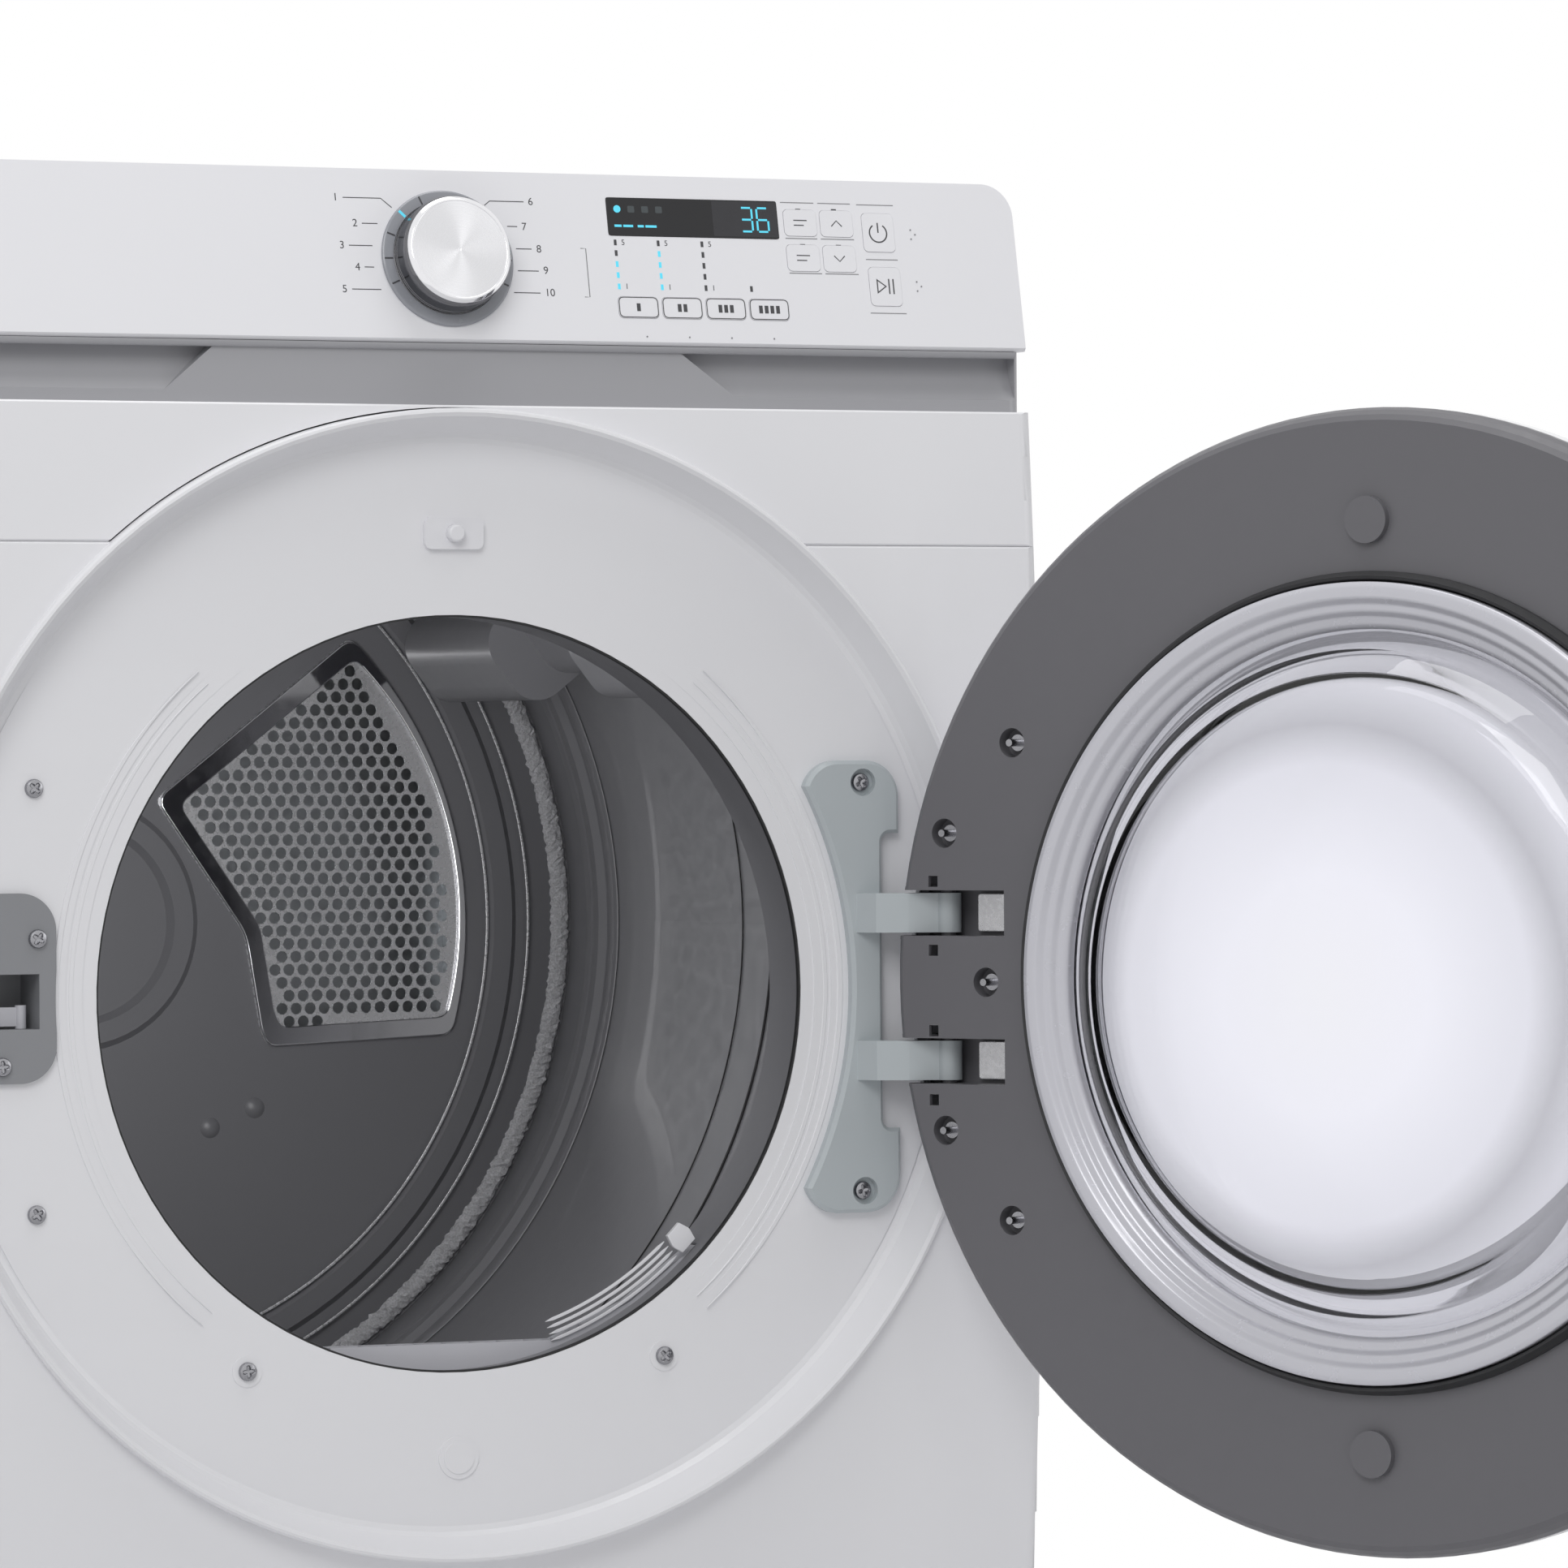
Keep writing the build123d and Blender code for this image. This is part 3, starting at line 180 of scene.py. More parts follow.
white = (0.80, 0.80, 0.825)
mat = {
    "white_paint": surface("white_enamel", white, 0.34, vary=0.006, bump=0.03, bump_scale=420, coat=0.15),
    "fascia_white": surface("fascia_satin", (0.82, 0.82, 0.85), 0.32, vary=0.006, rough_vary=0.02,
                            bump=0.01, coat=0.1),
    "key_white": surface("key_satin", (0.82, 0.82, 0.85), 0.34, bump=0.05),
    "switch_white": surface("switch_white", (0.78, 0.78, 0.81), 0.38),
    "outer_white": surface("cover_white", (0.80, 0.80, 0.83), 0.2, coat=0.5),
    "band_grey": surface("band_grey", (0.36, 0.36, 0.38), 0.30, vary=0.01, rough_vary=0.02,
                         bump=0.01, coat=0.15),
    "black_glass": surface("display_black", (0.006, 0.006, 0.008), 0.12, bump=0.0),
    "smoke_ring": surface("ring_smoke", (0.30, 0.31, 0.34), 0.22),
    "spun_metal": surface("knob_metal", (0.72, 0.72, 0.74), 0.27, metal=1.0, vary=0.02),
    "board_green": surface("board_green", (0.02, 0.12, 0.05), 0.5),
    "hinge_grey": surface("hinge_enamel", (0.46, 0.50, 0.52), 0.38, bump=0.12, bump_scale=500, coat=0.1),
    "latch_grey": surface("latch_grey", (0.25, 0.255, 0.27), 0.42, bump=0.15),
    "zinc": surface("zinc_plate", (0.34, 0.34, 0.36), 0.24, metal=1.0, vary=0.08, scale=200),
    "drum_steel": surface("drum_paint", (0.20, 0.20, 0.214), 0.38, vary=0.01, rough_vary=0.02,
                          bump=0.01, coat=0.1),
    "stainless": surface("stainless", (0.78, 0.78, 0.80), 0.28, metal=0.55, vary=0.03, scale=60),
    "galvanised": surface("galvanised", (0.50, 0.52, 0.54), 0.38, metal=0.9, vary=0.14, scale=45),
    "grey_plastic": surface("grey_moulding", (0.56, 0.56, 0.60), 0.42, bump=0.12),
    "dark_plastic": surface("door_grey", (0.135, 0.133, 0.145), 0.42, vary=0.02, bump=0.2, bump_scale=1500),
    "silver_ring": surface("ring_silver", (0.60, 0.60, 0.65), 0.26, metal=0.15, vary=0.01, rough_vary=0.02,
                           bump=0.0, coat=0.5),
    "black_rubber": surface("rubber", (0.02, 0.02, 0.022), 0.6, bump=0.2),
    "black_plastic": surface("black_moulding", (0.025, 0.025, 0.027), 0.45, bump=0.15),
    "motor_black": surface("motor_enamel", (0.03, 0.03, 0.033), 0.45, bump=0.15),
    "aluminium_duct": surface("aluminium", (0.68, 0.69, 0.70), 0.32, metal=1.0, vary=0.06, scale=40),
    "felt": surface("felt_base", (0.18, 0.18, 0.19), 0.95, vary=0.35, scale=500, bump=0.9, bump_scale=700,
                    depth=0.0008),
    "clear_glass": clear("bowl_glass", (0.86, 0.86, 0.905), 0.0, 1.47, 0.985),
    "tinted_window": clear("window_clear", (0.90, 0.90, 0.94), 0.02, 1.40, 0.98),
}
ink = surface("print_ink", (0.05, 0.05, 0.055), 0.5)
pale_ink = surface("print_grey", (0.22, 0.22, 0.23), 0.5)
cyan = lit("lit_cyan", (0.10, 0.62, 0.80), 1.0)
dark_chrome = surface("dark_chrome", (0.17, 0.17, 0.18), 0.14, metal=1.0, vary=0.05)
chrome = surface("bright_chrome", (0.82, 0.82, 0.84), 0.08, metal=1.0, vary=0.02)
# painted shade: near-black for the gap round the opening and the seams of the drum shell
shadow_gap = surface("painted_gap_shade", (0.012, 0.012, 0.013), 0.6)

slots = {row["node"]: row["material_slot"] for row in frame["record"]["subparts"]}
# two nodes take another paint than their slot's
own_paint = {"drum_baffles": mat["drum_steel"],
             "top_cover": surface("top_enamel", white, 0.5, vary=0.006, bump=0.03, bump_scale=420)}
for name, part in nodes.items():
    part.data.materials.clear()
    part.data.materials.append(own_paint.get(name, mat[slots[name]]))


# ---------------------------------------------------------------- mesh helpers
def piece(name, verts, faces, place, body, material, node=None, replaces=(), flat=False):
    """A mesh given in mm, set at place and riding on body."""
    mesh = bpy.data.meshes.new(name)
    mesh.from_pydata([tuple(c * MM for c in v) for v in verts], [], faces)
    joined = bmesh.new()
    joined.from_mesh(mesh)
    bmesh.ops.remove_doubles(joined, verts=joined.verts, dist=1e-7)
    joined.to_mesh(mesh)
    joined.free()
    mesh.validate()
    obj = bpy.data.objects.new(name, mesh)
    bpy.context.scene.collection.objects.link(obj)
    return settle(obj, place, body, material, node, replaces, flat)


def settle(obj, place, body, material, node=None, replaces=(), flat=False):
    """Places, paints and smooths an object and ties it to its body; node is not used."""
    obj.matrix_world = place
    obj.data.materials.clear()
    obj.data.materials.append(material)
    if not flat:
        obj.data.shade_smooth()
        edge = obj.modifiers.new("edges", "EDGE_SPLIT")
        edge.split_angle = math.radians(38)
    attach(obj, body)
    if replaces:
        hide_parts(*replaces)
    return obj


def rounded(points, radius, steps=5, on_axis=False):
    """The closed outline with each corner rounded by up to radius; on_axis keeps corners at zero radius."""
    out = []
    count = len(points)
    for i, p in enumerate(points):
        p = Vector(p)
        if on_axis and p.x == 0:
            out.append((p.x, p.y))
            continue
        before = Vector(points[i - 1]) - p
        after = Vector(points[(i + 1) % count]) - p
        cut = min(radius, before.length * 0.45, after.length * 0.45)
        a = p + before.normalized() * cut
        b = p + after.normalized() * cut
        for k in range(steps + 1):
            t = k / steps
            q = a * (1 - t) ** 2 + p * (2 * t * (1 - t)) + b * t ** 2
            out.append((q.x, q.y))
    return out


def lathe(name, profile, place, body, material, steps=192, **rest):
    """A closed outline of (radius, height) turned about the place's own Z."""
    verts = []
    for k in range(steps):
        a = 2 * math.pi * k / steps
        verts += [(r * math.cos(a), r * math.sin(a), h) for r, h in profile]
    n = len(profile)
    faces = []
    for k in range(steps):
        for i in range(n):
            a, b = k * n + i, k * n + (i + 1) % n
            c, d = ((k + 1) % steps) * n + (i + 1) % n, ((k + 1) % steps) * n + i
            faces.append((a, d, c, b))
    return piece(name, verts, faces, place, body, material, **rest)


def plate(name, outer, holes, z0, z1, place, body, material, bevel=0.0, **rest):
    """A flat sheet from z0 to z1 with the outer outline and the holes cut out."""
    curve = bpy.data.curves.new(name, "CURVE")
    curve.dimensions = "2D"
    curve.fill_mode = "BOTH"
    for points in [outer] + list(holes):
        line = curve.splines.new("POLY")
        line.points.add(len(points) - 1)
        for point, (x, y) in zip(line.points, points):
            point.co = (x * MM, y * MM, 0, 1)
        line.use_cyclic_u = True
    curve.extrude = (z1 - z0) / 2 * MM - bevel * MM
    curve.bevel_depth = bevel * MM
    curve.bevel_resolution = 2
    curve.offset = -bevel * MM
    temp = bpy.data.objects.new(name + "_curve", curve)
    bpy.context.scene.collection.objects.link(temp)
    mesh = bpy.data.meshes.new_from_object(temp)
    bpy.data.objects.remove(temp)
    mesh.transform(Matrix.Translation((0, 0, (z0 + z1) / 2 * MM)))
    obj = bpy.data.objects.new(name, mesh)
    bpy.context.scene.collection.objects.link(obj)
    return settle(obj, place, body, material, **rest)


def box_outline(x0, x1, y0, y1, r=0.0, steps=5):
    points = [(x0, y0), (x1, y0), (x1, y1), (x0, y1)]
    return rounded(points, r, steps) if r else points


def ring_outline(x, y, r, steps=32):
    return [(x + r * math.cos(2 * math.pi * k / steps), y + r * math.sin(2 * math.pi * k / steps))
            for k in range(steps)]


def stroke(points, w):
    """The outline of an open line of width w."""
    left, right = [], []
    for i, p in enumerate(points):
        p = Vector(p)
        a = Vector(points[max(i - 1, 0)])
        b = Vector(points[min(i + 1, len(points) - 1)])
        d = (b - a).normalized()
        n = Vector((-d.y, d.x)) * w / 2
        left.append(tuple(p + n))
        right.append(tuple(p - n))
    return left + right[::-1]


def solids(name, outlines, z0, z1, place, body, material, **rest):
    """Several flat outlines, none inside another, as one thin raised piece."""
    return plate(name, outlines[0], outlines[1:], z0, z1, place, body, material, **rest)


def words(name, items, size, z0, z1, place, body, material):
    """Plain numerals, each (text, x, y), as one thin raised mesh."""
    parts = []
    for text, x, y in items:
        font = bpy.data.curves.new(name, "FONT")
        font.body = text
        font.size = size * MM
        font.align_x = "CENTER"
        font.align_y = "CENTER"
        font.extrude = (z1 - z0) / 2 * MM
        temp = bpy.data.objects.new(name, font)
        temp.location = (x * MM, y * MM, (z0 + z1) / 2 * MM)
        bpy.context.scene.collection.objects.link(temp)
        bpy.context.view_layer.update()
        mesh = bpy.data.meshes.new_from_object(temp)
        mesh.transform(temp.matrix_world)
        bpy.data.objects.remove(temp)
        parts.append(mesh)
    verts, faces = [], []
    for mesh in parts:
        base = len(verts)
        verts += [tuple(v.co / MM) for v in mesh.vertices]
        faces += [tuple(base + i for i in f.vertices) for f in mesh.polygons]
    return piece(name, verts, faces, place, body, material, flat=True)


# ---------------------------------------------------------------- control panel
print_low, print_high = 0.0, 0.06
line_w = 0.5
leaders = [
    [(-55.3, 79.6), (-33.5, 79.6), (-27.5, 74.5)],
    [(-45.5, 65.4), (-36.5, 65.4)], [(-54.0, 53.0), (-40.5, 53.0)],
    [(-46.0, 41.1), (-40.6, 41.1)], [(-54.3, 28.7), (-37.6, 28.7)],
    [(26.4, 77.0), (29.6, 79.5), (49.5, 79.5)],
    [(38.6, 65.5), (44.5, 65.5)], [(42.6, 53.0), (51.7, 53.0)],
    [(42.6, 40.7), (54.8, 40.7)], [(39.2, 28.4), (54.6, 28.4)],
]
rows = (79.6, 65.4, 53.0, 41.0, 28.6)
solids("dial_leader_lines", [stroke(p, line_w) for p in leaders], print_low, print_high, panel,
       "cabinet", ink)
left_x = (-59.5, -49.5, -58.0, -50.0, -58.5)
right_x = (53.5, 48.5, 56.0, 59.0, 58.8)
numerals = [(str(i + 1), x, s) for i, (x, s) in enumerate(zip(left_x, rows))]
numerals += [(str(i + 6), x + (1.5 if i == 4 else 0), s) for i, (x, s) in enumerate(zip(right_x, rows))]
words("dial_numerals", numerals, 6.0, print_low, print_high, panel, "cabinet", ink)
solids("dial_group_bracket", [stroke([(80.5, 54.0), (83.5, 54.0), (83.5, 26.7), (80.5, 26.7)], line_w)],
       print_low, print_high, panel, "cabinet", pale_ink)

led_columns = ((101.3, (0, 0, 1, 1, 1)), (126.7, (0, 1, 1, 1, 1)), (152.7, (0, 0, 0, 0, 0)))
led_rows = (57.8, 51.8, 45.6, 39.4, 33.0)
lamps = {0: [], 1: []}
for x, states in led_columns:
    for s, on in zip(led_rows, states):
        lamps[on].append((x, s))
lamps[0].append((179.8, 33.0))
for on, spots in lamps.items():
    outlines = [box_outline(x - 0.8, x + 0.8, s - 1.6, s + 1.6) for x, s in spots]
    solids("level_lamps_lit" if on else "level_lamps_dark", outlines, print_low, print_high + 0.02, panel,
           "cabinet", cyan if on else ink)
levels = [(t, x + 4.6, s) for x, _ in led_columns for t, s in (("5", 57.8), ("1", 33.0))]
words("level_numerals", levels, 4.4, print_low, print_high, panel, "cabinet", ink)
dots = [(212.2, 78.7), (233.8, 79.0), (213.1, 58.6), (234.7, 58.6)]
solids("key_lamps", [box_outline(x - 1.5, x + 1.5, s - 0.6, s + 0.6) for x, s in dots], print_low,
       print_high, panel, "cabinet", ink)
dots = [(115.1, 5.0), (140.2, 5.0), (165.3, 5.0), (190.6, 5.0)]
around_key = ((0, 2.6), (2.6, 0), (0, -2.6))
dots += [(x + dx, s + ds) for x, s in ((279.3, 66.0), (280.1, 36.3)) for dx, ds in around_key]
solids("touch_dots", [ring_outline(x, s, 0.45, 10) for x, s in dots], print_low, 0.3, panel, "cabinet",
       pale_ink)
bars = [(82.7, 201.9, 222.0), (82.7, 224.4, 244.1), (62.3, 203.2, 222.3), (62.3, 224.4, 244.5),
        (42.5, 203.6, 223.2), (42.5, 225.2, 245.3), (82.4, 247.9, 270.2), (51.2, 250.6, 269.9),
        (20.6, 250.3, 272.1)]
solids("key_divider_lines", [stroke([(a, s), (b, s)], line_w) for s, a, b in bars], print_low, print_high,
       panel, "cabinet", pale_ink)

key_top = 0.3
key_print = key_top + 0.06
option_keys = {"temperature_key": 111.6, "dry_level_key": 137.5, "time_dry_key": 163.4,
               "more_time_key": 189.3}
for count, (name, x) in enumerate(option_keys.items(), 1):
    edge = box_outline(x - 11.6, x + 11.6, 15.6, 27.2, 3.0)
    hole = box_outline(x - 11.1, x + 11.1, 16.1, 26.7, 2.6)
    bar_pitch, middle = 3.4, (count - 1) / 2
    plate(name + "_outline", edge, [hole], key_top, key_print, panel, name + "_body", ink)
    marks = [box_outline(x - 1.1 + bar_pitch * (k - middle), x + 1.1 + bar_pitch * (k - middle), 19.2, 23.6)
             for k in range(count)]
    solids(name + "_mark", marks, key_top, key_print, panel, name + "_body", ink)
small_keys = {"signal_key": (212.8, 71.2), "wrinkle_key": (234.6, 71.2), "damp_key": (212.8, 51.2),
              "custom_key": (234.6, 51.2)}
for name, (x, s) in small_keys.items():
    upper_row, right_column = s > 60, x > 220
    up = 1 if upper_row else -1
    if right_column:
        mark = [stroke([(x - 3.2, s - 1.6 * up), (x, s + 1.6 * up), (x + 3.2, s - 1.6 * up)], 0.6)]
    else:
        mark = [stroke([(x - 4, s + 1.4), (x + 4, s + 1.4)], 0.6),
                stroke([(x - 4, s - 1.4), (x + 2, s - 1.4)], 0.6)]
    solids(name + "_mark", mark, key_top, key_print, panel, name + "_body", ink)

power_r = 5.2
power_x, power_s = 259.4, 66.3
arc = [(power_x + power_r * math.sin(math.radians(a)), power_s + power_r * math.cos(math.radians(a)))
       for a in range(35, 330, 10)]
solids("power_symbol", [stroke(arc, 0.8), stroke([(power_x, 66.5), (power_x, 72.2)], 0.8)], key_top,
       key_print, panel, "power_key_body", ink)
triangle = [(255.6, 31.6), (255.6, 40.2), (261.6, 35.9)]
inner = [(256.3, 32.9), (256.3, 38.9), (260.5, 35.9)]
bars = [box_outline(262.6, 263.4, 31.6, 40.2), box_outline(265.2, 266.0, 31.6, 40.2)]
plate("start_symbol", triangle, [inner] + bars, key_top, key_print, panel, "start_key_body", ink)

# display: black glass with a lighter field, two lit figures and plain marks
plate("display_glass", box_outline(97.8, 199.4, 61.7, 83.2, 1.2), [], -2.0, 0.25, panel, "cabinet",
      mat["black_glass"], bevel=0.08, node="display_window", replaces=("display_window",))
field = surface("display_field", (0.022, 0.022, 0.026), 0.3)
plate("display_field", box_outline(160.4, 198.8, 62.6, 82.4, 0.4), [], 0.2, 0.28, panel, "cabinet", field)
seg_w, seg_h, seg_t = 6.6, 13.4, 1.1
segments = {
    "a": (0, seg_h, seg_w, seg_h), "b": (seg_w, seg_h / 2, seg_w, seg_h), "c": (seg_w, 0, seg_w, seg_h / 2),
    "d": (0, 0, seg_w, 0), "e": (0, 0, 0, seg_h / 2), "f": (0, seg_h / 2, 0, seg_h),
    "g": (0, seg_h / 2, seg_w, seg_h / 2),
}
figures = {"3": "abcdg", "6": "acdefg"}
strokes = []
for place_x, figure in ((177.4, "3"), (187.0, "6")):
    for key in figures[figure]:
        x0, y0, x1, y1 = segments[key]
        gap = seg_t * 0.55
        dx, dy = (gap, 0) if y0 == y1 else (0, gap)
        line = [(place_x + x0 + dx, 65.6 + y0 + dy), (place_x + x1 - dx, 65.6 + y1 - dy)]
        strokes.append(stroke(line, seg_t))
solids("display_figures", strokes, 0.28, 0.34, panel, "cabinet", cyan)
solids("display_marks_lit", [stroke([(x, 67.2), (x + w, 67.2)], 1.3) for x, w in
                             ((101.7, 4.2), (106.9, 5.8), (115.4, 3.6), (120.0, 6.6))]
       + [ring_outline(104.0, 76.7, 2.1, 20)], 0.25, 0.3, panel, "cabinet", cyan)
dim = surface("display_dim", (0.05, 0.06, 0.065), 0.4)
solids("display_marks_dim", [box_outline(x - 2, x + 2, 74.8, 78.6, 0.8) for x in (112.2, 120.4, 128.6)], 0.25,
       0.3, panel, "cabinet", dim)

# dial: ring with ticks, spun knob with a dark side
dial = basis(Vector((dial_x, lip_y, lip_z)) + Vector((0, math.sin(lean), math.cos(lean))) * dial_s, dial_axis)
ring = [(31.4, 0.0), (37.9, 0.0), (37.9, 1.4), (36.9, 2.0), (31.4, 2.0)]
lathe("dial_ring_clear", rounded(ring, 0.4), dial, "cabinet", mat["smoke_ring"], node="dial_ring",
      replaces=("dial_ring",))
lit_angle = -48
tick_outlines = {True: [], False: []}
for a in (-120, -96, -72, -48, -24, 24, 48, 72, 96, 120):
    d = Vector((math.sin(math.radians(a * 0.95)), math.cos(math.radians(a * 0.95))))
    lit_tick = a == lit_angle
    w = 1.5 if lit_tick else 0.9
    tick_outlines[lit_tick].append(stroke([tuple(d * 32.0), tuple(d * 36.8)], w))
solids("dial_tick_lit", tick_outlines[True], 2.0, 2.08, dial, "cabinet", cyan)
solids("dial_ticks", tick_outlines[False], 2.0, 2.08, dial, "cabinet", ink)

spun, tree, bsdf = node_material("knob_spun")
bsdf.inputs["Metallic"].default_value = 1.0
bsdf.inputs["Anisotropic"].default_value = 0.85
coords = tree.nodes.new("ShaderNodeTexCoord")
split = tree.nodes.new("ShaderNodeVectorMath")
split.operation = "MULTIPLY"
split.inputs[1].default_value = (1, 1, 0)
link(tree, coords.outputs["Object"], split.inputs[0])
radius = tree.nodes.new("ShaderNodeVectorMath")
radius.operation = "LENGTH"
link(tree, split.outputs[0], radius.inputs[0])
rings = tree.nodes.new("ShaderNodeTexNoise")
rings.noise_dimensions = "1D"
rings.inputs["Scale"].default_value = 6000
link(tree, radius.outputs["Value"], rings.inputs["W"])
link(tree, spread(tree, rings.outputs["Fac"], 0.22, 0.36), bsdf.inputs["Roughness"])
tone = tree.nodes.new("ShaderNodeMix")
tone.data_type = "RGBA"
tone.inputs["A"].default_value = (0.66, 0.66, 0.68, 1)
tone.inputs["B"].default_value = (0.82, 0.82, 0.84, 1)
link(tree, rings.outputs["Fac"], tone.inputs["Factor"])
link(tree, tone.outputs["Result"], bsdf.inputs["Base Color"])
turning = tree.nodes.new("ShaderNodeTangent")
turning.direction_type = "RADIAL"
turning.axis = "Z"
link(tree, turning.outputs["Tangent"], bsdf.inputs["Tangent"])

knob_side = [(3.6, 0.4), (29.6, 0.4), (29.6, 1.4), (31.0, 2.2), (31.0, 3.2), (30.5, 3.6), (31.0, 4.0),
             (31.0, 5.0), (30.5, 5.4), (31.0, 5.8), (30.7, 16.4), (29.4, 18.2), (28.6, 18.4), (3.6, 18.4)]
lathe("dial_knob_side", rounded(knob_side, 0.25, 3), dial, "dial", dark_chrome, node="dial_knob",
      replaces=("dial_knob",))
knob_chamfer = [(26.9, 18.0), (29.7, 18.0), (29.6, 18.6), (27.9, 19.9), (26.9, 19.9)]
lathe("dial_knob_chamfer", rounded(knob_chamfer, 0.2, 3), dial, "dial", chrome)
lathe("dial_knob_face", [(0.0, 19.3), (0.4, 19.75), (1.0, 19.9), (27.0, 19.6), (27.2, 19.2), (27.2, 18.2),
                         (0.0, 18.2)], dial, "dial", spun)

# ---------------------------------------------------------------- glass, window and retainer of the door
# the bowl glass carries painted shade: near white in the middle, darker crescents towards the rim, set a little
# off centre
bowl_glass, tree, bsdf = node_material("bowl_glass_painted_shade")
bsdf.inputs["Transmission Weight"].default_value = 1.0
bsdf.inputs["IOR"].default_value = 1.47
coords = tree.nodes.new("ShaderNodeTexCoord")
shift = tree.nodes.new("ShaderNodeVectorMath")
shift.operation = "MULTIPLY_ADD"
shift.inputs[1].default_value = (1, 1, 0)
shift.inputs[2].default_value = (-0.010, 0.006, 0)
link(tree, coords.outputs["Object"], shift.inputs[0])
out_from = tree.nodes.new("ShaderNodeVectorMath")
out_from.operation = "LENGTH"
link(tree, shift.outputs[0], out_from.inputs[0])
share = tree.nodes.new("ShaderNodeMapRange")
bowl_edge_r = 0.210
share.inputs["From Max"].default_value = bowl_edge_r
link(tree, out_from.outputs["Value"], share.inputs["Value"])
painted_shade_ramp = tree.nodes.new("ShaderNodeValToRGB")
for spot, shade_at in ((0.30, 0.96), (0.58, 0.84), (0.68, 0.58), (0.78, 0.76), (0.90, 0.55)):
    stop = painted_shade_ramp.color_ramp.elements.new(spot)
    stop.color = (shade_at, shade_at, min(1.0, shade_at * 1.05), 1)
painted_shade_ramp.color_ramp.elements[0].color = (0.97, 0.97, 0.985, 1)
painted_shade_ramp.color_ramp.elements[-1].color = (0.70, 0.70, 0.75, 1)
link(tree, share.outputs["Result"], painted_shade_ramp.inputs["Fac"])
link(tree, painted_shade_ramp.outputs["Color"], bsdf.inputs["Base Color"])
link(tree, spread(tree, noise(tree, 30.0), 0.0, 0.02), bsdf.inputs["Roughness"])
bowl = [(208, 21.5), (208, 25.5), (180, 25.5), (172, 20), (158, -8), (140, -12.5), (100, -14.5), (0, -15),
        (0, -19), (100, -18.5), (142, -17), (161, -12), (176, 3), (184, 19), (190, 21.5)]
lathe("door_glass", rounded(bowl, 12.0, 8, on_axis=True), door, "door", bowl_glass, steps=256,
      node="door_glass_bowl", replaces=("door_glass_bowl",))
window = [(0, 75), (100, 73), (170, 69), (204.8, 66), (204.8, 64.5), (215, 63.6), (215, 60.5), (170, 65),
          (100, 69.5), (0, 71.5)]
lathe("door_window", rounded(window, 0.4, 3, on_axis=True), door, "door", mat["tinted_window"], steps=256,
      node="door_outer_window", replaces=("door_outer_window",))
retainer = [(211.3, 25.5), (211.3, 3.6), (209, 2.5), (203, 2.5), (200.6, 4.6), (199.4, 5.6), (196, 5.8),
            (194.4, 7.2), (193, 8.6), (189, 9.4), (187, 11), (186.2, 13.4), (187, 17), (194, 19), (194, 21.4),
            (208, 21.4), (208, 25.5)]
lathe("door_retaining_ring", rounded(retainer, 1.0, 4), door, "door", mat["silver_ring"], steps=256,
      node="glass_retaining_ring", replaces=("glass_retaining_ring",))


# ---------------------------------------------------------------- screws with cross recesses
def cross_head(r, h, steps=40, rings_count=10):
    """A pan head with a cross-shaped recess, as (verts, faces) about its own axis."""
    verts, faces = [], []
    arm, reach, sink = 0.16 * r * 1.15, 0.62 * r, 0.55 * h
    radii = [r * k / rings_count for k in range(rings_count + 1)]
    verts.append((0, 0, h - sink))
    for rr in radii[1:]:
        for k in range(steps):
            a = 2 * math.pi * k / steps
            x, y = rr * math.cos(a), rr * math.sin(a)
            dome = h * (1 - 0.35 * (rr / r) ** 2) if rr < r * 0.97 else h * 0.45
            cut = max(abs(x), abs(y)) < reach and min(abs(x), abs(y)) < arm
            verts.append((x, y, dome - (sink * (1 - 0.5 * max(abs(x), abs(y)) / reach) if cut else 0)))
    base = len(verts)
    verts += [(r * math.cos(2 * math.pi * k / steps), r * math.sin(2 * math.pi * k / steps), 0)
              for k in range(steps)]
    for k in range(steps):
        faces.append((0, 1 + k, 1 + (k + 1) % steps))
    for i in range(rings_count):
        a0 = 1 + i * steps
        b0 = a0 + steps
        for k in range(steps):
            faces.append((a0 + k, b0 + k, b0 + (k + 1) % steps, a0 + (k + 1) % steps))
    faces.append(tuple(base + k for k in reversed(range(steps))))
    return verts, faces


def screws(name, spots, r, h, shank, place, body, node):
    """A group of screws, each spot (x, y, seat height, turn), in place of a node's own."""
    shank_r = 2
    verts, faces = [], []
    for x, y, seat, turned in spots:
        v, f = cross_head(r, h)
        c, s = math.cos(turned), math.sin(turned)
        base = len(verts)
        verts += [(x + a * c - b * s, y + a * s + b * c, seat + z) for a, b, z in v]
        faces += [tuple(base + i for i in face) for face in f]
        base = len(verts)
        steps = 16
        for z in (seat + 0.2, seat - shank):
            verts += [(x + shank_r * math.cos(2 * math.pi * k / steps),
                       y + shank_r * math.sin(2 * math.pi * k / steps), z) for k in range(steps)]
        faces += [(base + k, base + steps + k, base + steps + (k + 1) % steps, base + (k + 1) % steps)
                  for k in range(steps)]
        faces.append(tuple(base + k for k in range(steps)))
        faces.append(tuple(base + steps + k for k in reversed(range(steps))))
    return piece(name, verts, faces, place, body, mat["zinc"], node=node, replaces=(node,))


